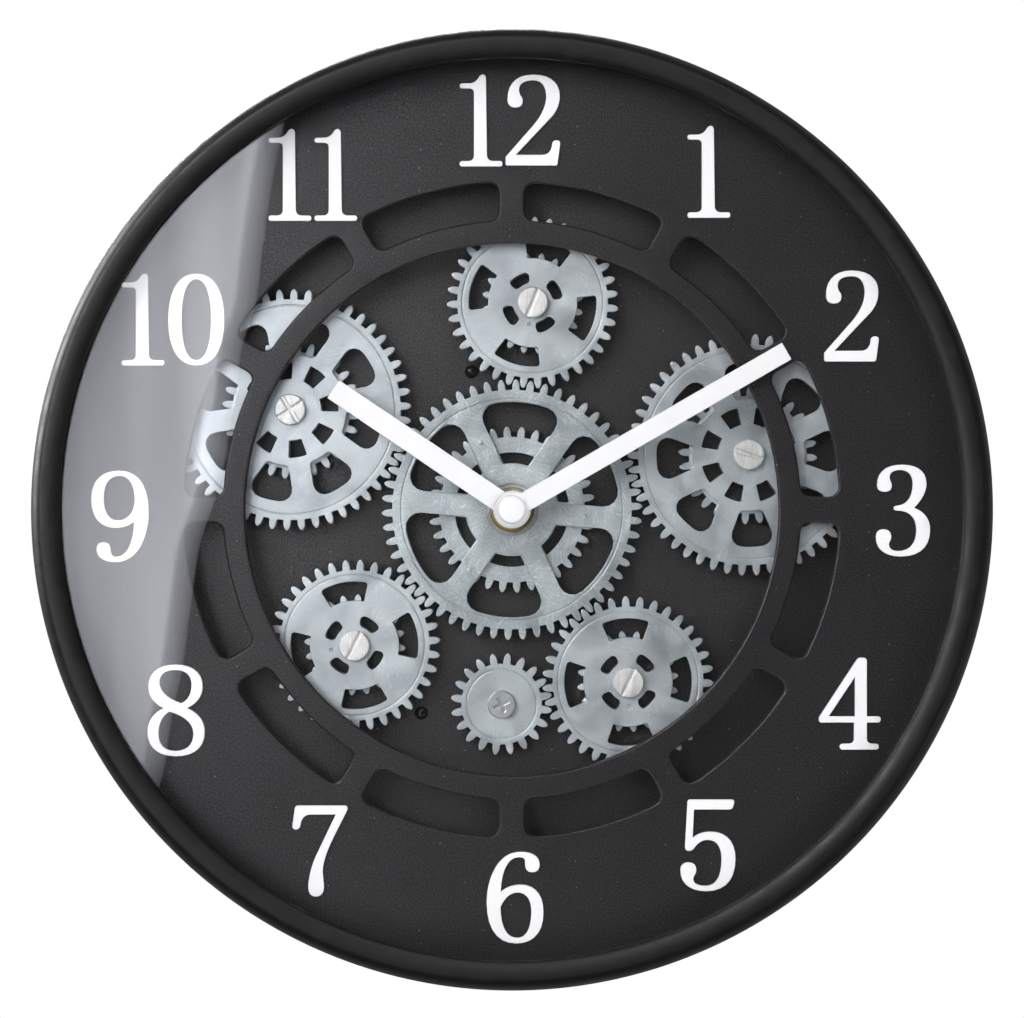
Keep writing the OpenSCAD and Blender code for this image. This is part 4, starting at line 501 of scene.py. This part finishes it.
def finish_of(context, name):
    """The material of this name, made once from the scene's colours."""
    made = bpy.data.materials.get(name)
    if made:
        return made
    grain = context.scene.clock_sizes.leather_grain
    colour = {key: np.array(getattr(context.scene.clock_colours, key))
              for key in ClockColours.__annotations__}
    makers = {
        "leather_grained_dial": lambda: leather_grained_abs(name, colour["dial"], grain),
        "leather_grained_plate": lambda: leather_grained_abs(name, colour["plate"], grain),
        "satin_black_abs": lambda: satin_black_abs(colour["bezel"]),
        "sparked_black_abs": lambda: sparked_black_abs(colour["moulding"]),
        "silver_lacquered_abs": lambda: silver_lacquered_abs(name, colour["wheels"], 0.25),
        "rubbed_silver_abs": lambda: silver_lacquered_abs(name, colour["centre_wheel"], 0.7),
        "white_lacquer": lambda: white_lacquer(name, colour["white"]),
        # the hands' copy of the white lacquer, set darker: painted shade
        "hand_lacquer_painted_shade": lambda: white_lacquer(name, colour["hands"]),
        "faced_steel": lambda: faced_steel(colour["steel"]),
        "chromed_steel": chromed_steel,
        "dull_brass": lambda: dull_brass(colour["brass"]),
        "blackened_steel": blackened_steel,
        "window_glass": window_glass,
        "acetal": acetal,
        "glass_fibre_board": glass_fibre_board,
        "plated_sheet_steel": plated_sheet_steel,
        "nickel_plate": nickel_plate,
        "shrunk_film": lambda: shrunk_film(colour["cell"]),
        "wound_copper": wound_copper,
    }
    return makers[name]()


# ---------------------------------------------------------------- shapes


def eased(section):
    """A closed section with its corners eased: each corner p of rounding s becomes the curve
    (1-t)^2 a + 2t(1-t) p + t^2 b, where a and b lie s before and after p along its two
    sides."""
    corners = np.array(section, float)
    point, ease = corners[:, :2], corners[:, 2:3]
    back = np.roll(point, 1, axis=0) - point
    ahead = np.roll(point, -1, axis=0) - point
    start = point + back / np.linalg.norm(back, axis=1, keepdims=True) * ease
    end = point + ahead / np.linalg.norm(ahead, axis=1, keepdims=True) * ease
    t = np.linspace(0, 1, EASE_STEPS)[None, :, None]
    curve = ((1 - t) ** 2 * start[:, None] + 2 * t * (1 - t) * point[:, None]
             + t ** 2 * end[:, None])
    return curve.reshape(-1, 2)


def quarter(centre, reach, rise, steps):
    """A quarter of an ellipse round centre, from its outer side up to its top, as pairs of
    reach cos t and rise sin t."""
    t = np.linspace(0, math.pi / 2, steps)
    return np.stack([centre[0] + reach * np.cos(t), centre[1] + rise * np.sin(t)], axis=1)


def surface_of(x, y, z, closed):
    """A grid of places, one row to each point of a section and closed round it, as points in
    the frame and four-cornered faces. closed joins the last row to the first."""
    rows, turns = x.shape
    i, j = np.meshgrid(np.arange(rows if closed else rows - 1), np.arange(turns), indexing="ij")
    ahead, beside = (i + 1) % rows, (j + 1) % turns
    faces = np.stack([i * turns + j, i * turns + beside, ahead * turns + beside,
                      ahead * turns + j], axis=-1)
    return row(x, y, z).reshape(-1, 3), faces.reshape(-1, 4)


def revolved(section, turns, centre=(0.0, 0.0), closed=True):
    """A section turned about an axis towards the viewer: p(u, v) = centre + r(v) (cos u, sin u)
    at height z(v)."""
    section = np.asarray(section, float)
    u = np.linspace(0, 2 * math.pi, turns, endpoint=False)
    return surface_of(centre[0] + np.outer(section[:, 0], np.cos(u)),
                      centre[1] + np.outer(section[:, 0], np.sin(u)),
                      np.repeat(section[:, 1:2], turns, axis=1), closed)


def joined(shapes):
    """Several (points, faces) as one, each shape's faces counted on from the last one's
    points."""
    first = np.cumsum([0] + [len(points) for points, _ in shapes[:-1]])
    return (np.concatenate([points for points, _ in shapes]),
            np.concatenate([faces + at for (_, faces), at in zip(shapes, first)]))


# Points closer than this are one point, and flats turned by less than this are one flat
WELD = 0.002 * MM
LEVEL = math.radians(1.0)


def closed_mesh(name, points, faces):
    """A mesh with its seams and poles merged and its faces turned outwards."""
    mesh = bpy.data.meshes.new(name)
    mesh.from_pydata(points.tolist(), [], faces.tolist())
    shape = bmesh.new()
    shape.from_mesh(mesh)
    bmesh.ops.remove_doubles(shape, verts=shape.verts, dist=WELD)
    bmesh.ops.recalc_face_normals(shape, faces=shape.faces)
    shape.to_mesh(mesh)
    shape.free()
    return mesh


def placed(context, name, mesh, finishes, nodes):
    """Puts a finished mesh into the scene, riding on the body of the nodes that it stands for."""
    piece = bpy.data.objects.new(name, mesh)
    context.scene.collection.objects.link(piece)
    for finish in finishes:
        mesh.materials.append(finish_of(context, finish))
    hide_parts(*nodes)
    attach(piece, BODY_OF[nodes[0]])
    return piece


def turned_piece(context, name, shape, finishes, nodes, crease=35.0):
    """A turned piece from its points and faces, smooth but for corners sharper than crease."""
    mesh = closed_mesh(name, *shape)
    mesh.shade_smooth()
    mesh.set_sharp_from_angle(angle=math.radians(crease))
    return placed(context, name, mesh, finishes, nodes)


def rounded_copy(context, node, edge, finish, corner=33.0, extra=None, steps=2):
    """A node's loose triangles merged and paired to quads, with extra faces added, then every
    corner sharper than corner rounded to edge by a live bevel."""
    shape = bmesh.new()
    shape.from_mesh(NODES[node].data)
    bmesh.ops.remove_doubles(shape, verts=shape.verts, dist=WELD)
    bmesh.ops.join_triangles(shape, faces=shape.faces, angle_face_threshold=LEVEL,
                             angle_shape_threshold=math.pi)
    if extra is not None:
        shape.from_mesh(extra)
    mesh = bpy.data.meshes.new(node + "_rounded")
    shape.to_mesh(mesh)
    shape.free()
    if "custom_normal" in mesh.attributes:
        mesh.attributes.remove(mesh.attributes["custom_normal"])
    mesh.materials.clear()
    mesh.shade_smooth()
    piece = placed(context, node + "_rounded", mesh, [finish], [node])
    bevel = piece.modifiers.new("edges", "BEVEL")
    bevel.width = edge
    bevel.segments = steps
    bevel.limit_method = "ANGLE"
    bevel.angle_limit = math.radians(corner)
    bevel.use_clamp_overlap = False
    bevel.loop_slide = False
    level = piece.modifiers.new("flats", "WEIGHTED_NORMAL")
    level.keep_sharp = False
    return piece


def ease_rim(mesh, ease):
    """Rounds the front rim of a round head by this much, and leaves its recess alone."""
    shape = bmesh.new()
    shape.from_mesh(mesh)
    bmesh.ops.dissolve_limit(shape, angle_limit=LEVEL, verts=shape.verts, edges=shape.edges)
    points = np.array([vertex.co for vertex in shape.verts])
    low, high = points.min(axis=0), points.max(axis=0)
    middle = (high + low) / 2
    front = low[1] + 0.01 * MM
    reach = (high[0] - low[0]) / 2 * RIM_FROM
    rim = [edge for edge in shape.edges
           if all(vertex.co.y < front
                  and math.hypot(vertex.co.x - middle[0], vertex.co.z - middle[2]) > reach
                  for vertex in edge.verts)]
    bmesh.ops.bevel(shape, geom=rim, offset=ease, segments=6, profile=0.5, affect="EDGES",
                    clamp_overlap=False)
    shape.to_mesh(mesh)
    shape.free()
    mesh.shade_smooth()


def face_middles(mesh):
    """The middle of each face, in the frame."""
    middles = np.zeros(len(mesh.polygons) * 3)
    mesh.polygons.foreach_get("center", middles)
    return middles.reshape(-1, 3)


def dressed(context, node, finish):
    """A node that keeps its own mesh and gets a better finish."""
    body = NODES[node]
    body.data.materials.clear()
    body.data.materials.append(finish_of(context, finish))


# ---------------------------------------------------------------- pieces


class CLOCK_OT_bezel(Operator):
    """Turn the bezel with its rounded crest, its lip and its snap bead"""

    bl_idname = "clock.bezel"
    bl_label = "Bezel"

    def execute(self, context):
        crest_r, crest_z = BEZEL_CREST
        level = crest_z - BEZEL_CREST_ROUND
        outer = quarter((crest_r, level), BEZEL_R - crest_r, BEZEL_CREST_ROUND, 28)
        lip_r, lip_z = BEZEL_LIP_EDGE
        t = np.linspace(0, math.pi / 2, 20)[1:]
        inner = np.stack([crest_r - (crest_r - lip_r) * np.sin(t),
                          lip_z + (crest_z - lip_z) * np.cos(t)], axis=1)
        # the crest's two quarters take the place of two eased corners, its own and the wall's
        straight = eased(BEZEL_FOOT + [(crest_r, crest_z, 0.1)] + BEZEL_LIP)
        foot = straight[:(len(BEZEL_FOOT) - 1) * EASE_STEPS]
        lip = straight[(len(BEZEL_FOOT) + 1) * EASE_STEPS:]
        section = np.concatenate([foot, outer, inner, lip])
        turned_piece(context, "bezel_turned",
                     revolved(section, context.scene.clock_sizes.turned_steps),
                     ["satin_black_abs"], ["front_bezel"])
        return {"FINISHED"}


class CLOCK_OT_glass(Operator):
    """Cut the round pane with its ground edge, and the spacer ring under it"""

    bl_idname = "clock.glass"
    bl_label = "Glass and spacer"

    def execute(self, context):
        steps = context.scene.clock_sizes.turned_steps
        (_, back), (_, front) = GLASS_SECTION[0], GLASS_SECTION[-1]
        section = [(0.0, back)] + GLASS_SECTION + [(0.0, front)]
        turned_piece(context, "glass_pane", revolved(section, steps, closed=False),
                     ["window_glass"], ["glass_lens"])
        turned_piece(context, "spacer_turned", revolved(eased(SPACER_SECTION), steps),
                     ["satin_black_abs"], ["spacer_ring"])
        return {"FINISHED"}


class CLOCK_OT_case(Operator):
    """Round the edges of the case and give it its grained and sparked plastic"""

    bl_idname = "clock.case"
    bl_label = "Case"

    def execute(self, context):
        pan = rounded_copy(context, "case_pan", context.scene.clock_sizes.case_edge,
                           "leather_grained_plate")
        pan.data.materials.append(finish_of(context, "sparked_black_abs"))
        behind = face_middles(pan.data)[:, 1] > -(PLATE_Z - 0.01) * MM
        pan.data.polygons.foreach_set("material_index", behind.astype(np.int32))
        return {"FINISHED"}


class CLOCK_OT_dial(Operator):
    """Round the dial's opening and slots and give it its leather grain"""

    bl_idname = "clock.dial"
    bl_label = "Dial"

    def execute(self, context):
        rounded_copy(context, "dial_plate", context.scene.clock_sizes.plate_edge,
                     "leather_grained_dial", steps=4)
        return {"FINISHED"}


class CLOCK_OT_numerals(Operator):
    """Round and lacquer the twelve raised numerals"""

    bl_idname = "clock.numerals"
    bl_label = "Numerals"

    def execute(self, context):
        for node in NUMERALS:
            rounded_copy(context, node, context.scene.clock_sizes.numeral_edge, "white_lacquer",
                         corner=40.0)
        return {"FINISHED"}


class CLOCK_OT_wheels(Operator):
    """Round the teeth and windows of the large wheels and add their gate marks"""

    bl_idname = "clock.wheels"
    bl_label = "Gear wheels"

    def execute(self, context):
        for node in WHEELS:
            marks = None
            if node in GATE_MARKS:
                rings = [revolved(np.array(GATE_SECTION) + (0.0, WHEEL_FACE_Z), 20, centre=at,
                                  closed=False)
                         for at in GATE_MARKS[node]]
                marks = closed_mesh(node + "_marks", *joined(rings))
            finish = "rubbed_silver_abs" if node == "centre_wheel" else "silver_lacquered_abs"
            rounded_copy(context, node, context.scene.clock_sizes.wheel_edge, finish,
                         corner=44.0, extra=marks)
            if marks is not None:
                bpy.data.meshes.remove(marks)
        return {"FINISHED"}


class CLOCK_OT_screws(Operator):
    """Finish the slotted heads, the dome heads and the rear screws"""

    bl_idname = "clock.screws"
    bl_label = "Screws"

    def execute(self, context):
        edge = context.scene.clock_sizes.screw_edge
        for node in ("wheel_screws", "cross_slot_screw"):
            rounded_copy(context, node, edge, "faced_steel", corner=50.0)
        pan = rounded_copy(context, "pinion_screw", edge * PAN_SHARE, "chromed_steel",
                           corner=50.0)
        ease_rim(pan.data, PAN_RIM * MM)
        rounded_copy(context, "rear_screws", edge, "nickel_plate", corner=50.0)
        dome = quarter((0.0, PLATE_Z), DOME_R, DOME_H, 14)
        tip = PLATE_Z - SHANK_LENGTH
        section = np.concatenate([[(0.0, tip), (SHANK_R, tip), (SHANK_R, PLATE_Z)], dome])
        screws = [revolved(section, 40, centre=at, closed=False) for at in PLATE_SCREWS]
        turned_piece(context, "dome_screws", joined(screws), ["blackened_steel"],
                     ["plate_screws"])
        return {"FINISHED"}


class CLOCK_OT_hub(Operator):
    """Turn the brass nut and finish the bush and the sleeve behind the hands"""

    bl_idname = "clock.hub"
    bl_label = "Hub"

    def execute(self, context):
        turned_piece(context, "nut_turned", revolved(eased(NUT_SECTION), 72), ["dull_brass"],
                     ["centre_nut"])
        dressed(context, "movement_bush", "dull_brass")
        dressed(context, "centre_sleeve", "nickel_plate")
        return {"FINISHED"}


class CLOCK_OT_hands(Operator):
    """Round and lacquer the hands and turn the cap on them"""

    bl_idname = "clock.hands"
    bl_label = "Hands"

    def execute(self, context):
        edge = context.scene.clock_sizes.hand_edge
        for node in ("hour_hand", "minute_hand"):
            rounded_copy(context, node, edge, "hand_lacquer_painted_shade", corner=40.0)
        # the cap: a short wall, a rounded shoulder and a crowned top, hollow over the arbor
        face_r = CAP_R - CAP_SHOULDER
        wall = [(0.0, CAP_FLOOR), (CAP_HOLE_R, CAP_FLOOR), (CAP_HOLE_R, CAP_BASE),
                (CAP_R - CAP_CHAMFER, CAP_BASE), (CAP_R, CAP_BASE + CAP_CHAMFER)]
        shoulder = quarter((face_r, CAP_TOP - CAP_CROWN - CAP_SHOULDER), CAP_SHOULDER,
                           CAP_SHOULDER, 12)
        t = np.linspace(1, 0, 8)[1:]
        face = np.stack([face_r * t, CAP_TOP - CAP_CROWN * t ** 2], axis=1)
        section = np.concatenate([wall, shoulder, face])
        turned_piece(context, "cap_turned", revolved(section, 96, closed=False),
                     ["hand_lacquer_painted_shade"], ["hand_cap"])
        dressed(context, "hour_pipe", "acetal")
        dressed(context, "minute_arbor", "nickel_plate")
        return {"FINISHED"}


class CLOCK_OT_movement(Operator):
    """Finish the quartz movement's box, its train and its knob"""

    bl_idname = "clock.movement"
    bl_label = "Quartz movement"

    def execute(self, context):
        edge = context.scene.clock_sizes.case_edge * BOX_SHARE
        for node in ("movement_front", "movement_cover", "setting_knob"):
            rounded_copy(context, node, edge, "sparked_black_abs", corner=45.0)
        for node in ("motion_wheel", "third_wheel", "fourth_wheel"):
            dressed(context, node, "acetal")
        dressed(context, "step_motor", "wound_copper")
        dressed(context, "circuit_board", "glass_fibre_board")
        return {"FINISHED"}


class CLOCK_OT_gear_motor(Operator):
    """Finish the gear motor's box, its train, its switch and the battery tray"""

    bl_idname = "clock.gear_motor"
    bl_label = "Gear motor"

    def execute(self, context):
        edge = context.scene.clock_sizes.case_edge
        for node in ("motor_housing", "motor_cover", "battery_tray"):
            rounded_copy(context, node, edge * BOX_SHARE, "sparked_black_abs", corner=45.0)
        rounded_copy(context, "power_switch", edge * SWITCH_SHARE, "white_lacquer", corner=45.0)
        for node in ("motor_pinion", "reduction_wheel", "drive_shaft"):
            dressed(context, node, "acetal")
        dressed(context, "drive_motor", "nickel_plate")
        return {"FINISHED"}


def cell_section():
    """Half outline of a cell, as place along its axis and distance from it, from the middle
    of its base to the middle of its button."""
    base, top = -CELL_HALF, CELL_HALF
    return np.array([
        (base + 0.3, 0.0), (base + 0.3, 5.2), (base, 5.6), (base, 6.5), (base + 0.4, CELL_R - 0.05),
        (base + 0.6, CELL_R), (top - 0.7, CELL_R), (top - 0.3, CELL_R - 0.15), (top - 0.1, 6.4),
        (top - 0.1, 5.6), (top - 0.5, 5.3), (top - 0.5, 3.2), (top - 0.2, CELL_BUTTON_R),
        (top + CELL_BUTTON_H - 0.25, CELL_BUTTON_R), (top + CELL_BUTTON_H, CELL_BUTTON_R - 0.25),
        (top + CELL_BUTTON_H, 0.0)])


def cell_shape(at):
    """A cell lying along x: p(u, v) = middle + side * s(v) along x, and r(v) (cos u, sin u)
    across it."""
    x0, y0, z0, side = at
    section = cell_section()
    u = np.linspace(0, 2 * math.pi, CELL_SIDES, endpoint=False)
    return surface_of(np.repeat((x0 + side * section[:, 0])[:, None], CELL_SIDES, axis=1),
                      y0 + np.outer(section[:, 1], np.cos(u)),
                      z0 + np.outer(section[:, 1], np.sin(u)), closed=False)


class CLOCK_OT_cells(Operator):
    """Turn the three cells with their sleeves and buttons, and finish the contacts"""

    bl_idname = "clock.cells"
    bl_label = "Cells and contacts"

    def execute(self, context):
        low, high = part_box("motor_cells")
        mid_z = -(low.y + high.y) / 2 / MM
        reach = (high.z - low.z) / 2 / MM - CELL_R
        mid_y = (high.z + low.z) / 2 / MM
        pair = [(-CELL_SHIFT, mid_y + reach, mid_z, 1), (CELL_SHIFT, mid_y - reach, mid_z, -1)]
        for name, node, cells in (("clock_cell_turned", "clock_cell", CLOCK_CELL),
                                  ("motor_cells_turned", "motor_cells", pair)):
            piece = turned_piece(context, name, joined([cell_shape(at) for at in cells]),
                                 ["nickel_plate", "shrunk_film"], [node], crease=40.0)
            # the sleeve covers the body and laps over both ends
            middles = face_middles(piece.data) / MM
            inside = np.zeros(len(middles), bool)
            for x0, y0, z0, side in cells:
                along = (middles[:, 0] - x0) * side
                across = np.hypot(middles[:, 2] - y0, -middles[:, 1] - z0)
                inside |= ((across > SLEEVE_LAP_R) & (across < CELL_R + 1)
                           & (np.abs(along) < CELL_HALF + 1))
            piece.data.polygons.foreach_set("material_index", inside.astype(np.int32))
            piece.data.update()
        dressed(context, "battery_contacts", "nickel_plate")
        return {"FINISHED"}


class CLOCK_OT_hanger(Operator):
    """Round the hanger plate's edges and plate it"""

    bl_idname = "clock.hanger"
    bl_label = "Hanger plate"

    def execute(self, context):
        rounded_copy(context, "hanger_plate", context.scene.clock_sizes.hanger_edge,
                     "plated_sheet_steel", corner=45.0)
        return {"FINISHED"}


# ---------------------------------------------------------------- stage

# The floor: how far it lies under the clock's middle, its radius, and where it starts to
# fade and is gone, in metres
FLOOR_DROP = 0.32
FLOOR_R = 0.8
FLOOR_FADE, FLOOR_GONE = 0.4, 0.776
FLOOR_SIDES = 64
# The diffuser's left, right, lower and upper edges, and how far behind the camera it
# stands, in metres
DIFFUSER_CARD = (-0.36, -0.13, -0.3, 0.34)
DIFFUSER_BEHIND = 0.02
CAMERA_RISE = 0.0002
SENSOR_WIDTH = 36.0
# Lamps: name, direction round the dial and away from its axis in degrees, distance and
# side in metres, watts
LAMPS = (
    ("key", 148.0, 38.0, 1.5, 0.8, 13.6),
    ("fill", 0.0, 26.0, 1.6, 1.0, 24.0),
    ("left_side", 160.0, 98.0, 1.1, 0.7, 14.5),
    ("top", 80.0, 42.0, 1.6, 0.8, 3.0),
    ("right_side", -25.0, 70.0, 1.6, 0.7, 1.0),
    ("back", 120.0, 152.0, 1.5, 0.9, 26.0),
)
# The fill lights matt surfaces only, so it leaves no haze on the black ones
MATT_ONLY = ("fill",)


def pale_floor():
    """Pale studio paper: matt, with a barely visible tooth of 1 mm. It fades out at its edge,
    so no border shows."""
    finish, shader, place = new_finish("pale_floor", ior=1.45)
    tooth = add(finish, "TexNoise", {}, {"Vector": place, "Scale": 900.0, "Detail": 2.0})
    flat = add(finish, "VectorMath", {"operation": "MULTIPLY"}, (place, (1.0, 1.0, 0.0)))
    reach = add(finish, "VectorMath", {"operation": "LENGTH"}, (flat,))
    gone = add(finish, "MapRange", {"interpolation_type": "SMOOTHSTEP"},
               (reach.outputs["Value"], FLOOR_FADE, FLOOR_GONE, 0.0, 1.0))
    partly_clear(finish, shader, gone)
    shader.inputs["Roughness"].default_value = 0.9
    return surfaced(finish, shader, (tooth, linear("#EFEFEF"), linear("#F6F6F6")))


def folded_diffuser():
    """A lit cloth diffuser beside the camera, which shows in the left of the glass: a slanted
    right edge, one sharp fold and a slow fall-off to the left."""
    glow = bpy.data.materials.new("folded_diffuser")
    glow.use_nodes = True
    glow.node_tree.nodes.clear()
    place = add(glow, "TexCoord").outputs["Object"]
    parts = add(glow, "SeparateXYZ", {}, (place,))
    across, up = parts.outputs["X"], parts.outputs["Z"]
    # distance to the left of the slanted, slightly wavy edge, in metres
    hang = add(glow, "TexNoise", {"noise_dimensions": "1D"},
               {"W": up, "Scale": 11.0, "Detail": 1.0})
    wavy = add(glow, "Math", {"operation": "MULTIPLY_ADD"}, (hang, 0.016, -0.199))
    edge = add(glow, "Math", {"operation": "MULTIPLY_ADD"}, (up, 0.19, wavy))
    left = add(glow, "Math", {"operation": "SUBTRACT"}, (edge, across))
    # brightness: it rises to the fold 13 mm in, and falls off beyond it
    near = add(glow, "MapRange", {}, (left, 0.0, 0.013, 0.7, 2.9))
    fold = add(glow, "MapRange", {"interpolation_type": "SMOOTHSTEP"},
               (left, 0.0115, 0.0165, 0.0, 1.0))
    fall = add(glow, "MapRange", {}, (left, 0.015, 0.12, 5.0, 2.3))
    whole = add(glow, "Mix", {"data_type": "FLOAT"}, {0: fold, 2: near, 3: fall})
    # ripples 26 mm apart hang along the edge
    stretched = add(glow, "Mapping", {},
                    {"Vector": place, "Rotation": (0.0, math.radians(10.8), 0.0),
                     "Scale": (38.0, 1.0, 2.2)})
    ripple = add(glow, "TexNoise", {}, {"Vector": stretched, "Scale": 1.0, "Detail": 1.0})
    wave = add(glow, "MapRange", {}, (ripple, 0.3, 0.7, 0.84, 1.14))
    # it also fades towards its lower left corner
    corner = add(glow, "Math", {"operation": "MULTIPLY_ADD"}, (left, -1.1, up))
    low = add(glow, "MapRange", {"interpolation_type": "SMOOTHSTEP"},
              (corner, -0.24, -0.09, 0.5, 1.0))
    shown = add(glow, "Math", {"operation": "GREATER_THAN"}, (left, 0.0))
    strength = whole
    for share in (wave, low, shown):
        strength = add(glow, "Math", {"operation": "MULTIPLY"}, (strength, share))
    light = add(glow, "Emission", {}, {"Color": opaque(linear("#F3F5FF")), "Strength": strength})
    clear = add(glow, "BsdfTransparent")
    mixed = add(glow, "MixShader", {}, (shown, clear, light))
    add(glow, "OutputMaterial", {}, {"Surface": mixed})
    return glow


def white_surround():
    """The world: white where the camera sees it, an even weak light on matt surfaces, and in
    reflections a room that is pale behind the clock and dim behind the camera."""
    world = bpy.data.worlds.new("studio")
    world.use_nodes = True
    world.node_tree.nodes.clear()
    way = add(world, "TexCoord").outputs["Generated"]
    parts = add(world, "SeparateXYZ", {}, (way,))
    room = add(world, "MapRange", {"interpolation_type": "SMOOTHSTEP"},
               (parts.outputs["Y"], -0.55, 0.6, 0.03, 0.28))
    path = add(world, "LightPath")
    soft = add(world, "Mix", {"data_type": "FLOAT"},
               {0: path.outputs["Is Diffuse Ray"], 2: room, 3: 0.2})
    strength = add(world, "Mix", {"data_type": "FLOAT"},
                   {0: path.outputs["Is Camera Ray"], 2: soft, 3: 1.0})
    glow = add(world, "Background", {}, {"Color": opaque((1.0, 1.0, 1.0)), "Strength": strength})
    add(world, "OutputWorld", {}, {"Surface": glow})
    return world


def one_face(context, name, corners, finish):
    """A flat piece of the stage: one face through its corners."""
    mesh = bpy.data.meshes.new(name)
    mesh.from_pydata(corners.tolist(), [], [list(range(len(corners)))])
    mesh.materials.append(finish)
    piece = bpy.data.objects.new(name, mesh)
    context.scene.collection.objects.link(piece)
    return piece


class CLOCK_OT_stage(Operator):
    """Set the floor, the lamps, the white background and the camera"""

    bl_idname = "clock.stage"
    bl_label = "Stage"

    def execute(self, context):
        scene = context.scene
        sizes = scene.clock_sizes

        u = np.linspace(0, 2 * math.pi, FLOOR_SIDES, endpoint=False)
        rim = np.stack([FLOOR_R * np.cos(u), FLOOR_R * np.sin(u),
                        np.full(FLOOR_SIDES, -FLOOR_DROP)], 1)
        floor = one_face(context, "studio_floor", rim, pale_floor())
        floor.visible_glossy = False

        y = -sizes.camera_distance - DIFFUSER_BEHIND
        left, right, low, high = DIFFUSER_CARD
        card = np.array([(left, y, low), (right, y, low), (right, y, high), (left, y, high)])
        diffuser = one_face(context, "diffuser", card, folded_diffuser())
        for kind in ("camera", "diffuse", "shadow", "volume_scatter"):
            setattr(diffuser, "visible_" + kind, False)

        for name, around, away, distance, side, watts in LAMPS:
            lamp = bpy.data.lights.new(name, "AREA")
            lamp.shape = "SQUARE"
            lamp.size = side
            lamp.energy = watts
            lit = bpy.data.objects.new(name, lamp)
            turn, lean = math.radians(around), math.radians(away)
            aim = np.array([math.sin(lean) * math.cos(turn), -math.cos(lean),
                            math.sin(lean) * math.sin(turn)])
            lit.location = aim * distance
            lit.rotation_mode = "QUATERNION"
            lit.rotation_quaternion = lit.location.to_track_quat("Z", "Y")
            lit.visible_glossy = lit.visible_transmission = name not in MATT_ONLY
            scene.collection.objects.link(lit)
        scene.world = white_surround()

        camera = bpy.data.cameras.new("camera")
        camera.lens = sizes.lens
        camera.sensor_width = SENSOR_WIDTH
        seen = bpy.data.objects.new("camera", camera)
        seen.location = (0.0, -sizes.camera_distance, CAMERA_RISE)
        seen.rotation_euler = (math.radians(90.0), 0.0, 0.0)
        scene.collection.objects.link(seen)
        scene.camera = seen
        scene.view_settings.view_transform = "Standard"
        return {"FINISHED"}


STEPS = (CLOCK_OT_stage, CLOCK_OT_case, CLOCK_OT_bezel, CLOCK_OT_glass, CLOCK_OT_dial,
         CLOCK_OT_numerals, CLOCK_OT_wheels, CLOCK_OT_screws, CLOCK_OT_hub, CLOCK_OT_hands,
         CLOCK_OT_movement, CLOCK_OT_gear_motor, CLOCK_OT_cells, CLOCK_OT_hanger)


class CLOCK_PT_pieces(Panel):
    """The clock's pieces, one button each"""

    bl_idname = "CLOCK_PT_pieces"
    bl_label = "Gear wall clock"
    bl_space_type = "VIEW_3D"
    bl_region_type = "UI"
    bl_category = "Clock"

    def draw(self, context):
        for step in STEPS:
            self.layout.operator(step.bl_idname)
        for group in (context.scene.clock_sizes, context.scene.clock_colours):
            for name in group.bl_rna.properties.keys():
                if name not in ("rna_type", "name"):
                    self.layout.prop(group, name)


CLASSES = (ClockSizes, ClockColours) + STEPS + (CLOCK_PT_pieces,)


def register():
    for cls in CLASSES:
        bpy.utils.register_class(cls)
    bpy.types.Scene.clock_sizes = PointerProperty(type=ClockSizes)
    bpy.types.Scene.clock_colours = PointerProperty(type=ClockColours)


def unregister():
    del bpy.types.Scene.clock_colours
    del bpy.types.Scene.clock_sizes
    for cls in reversed(CLASSES):
        bpy.utils.unregister_class(cls)


def main():
    register()
    bpy.ops.clock.stage()
    bpy.ops.clock.case()
    bpy.ops.clock.bezel()
    bpy.ops.clock.glass()
    bpy.ops.clock.dial()
    bpy.ops.clock.numerals()
    bpy.ops.clock.wheels()
    bpy.ops.clock.screws()
    bpy.ops.clock.hub()
    bpy.ops.clock.hands()
    bpy.ops.clock.movement()
    bpy.ops.clock.gear_motor()
    bpy.ops.clock.cells()
    bpy.ops.clock.hanger()


if __name__ == "__main__":
    main()
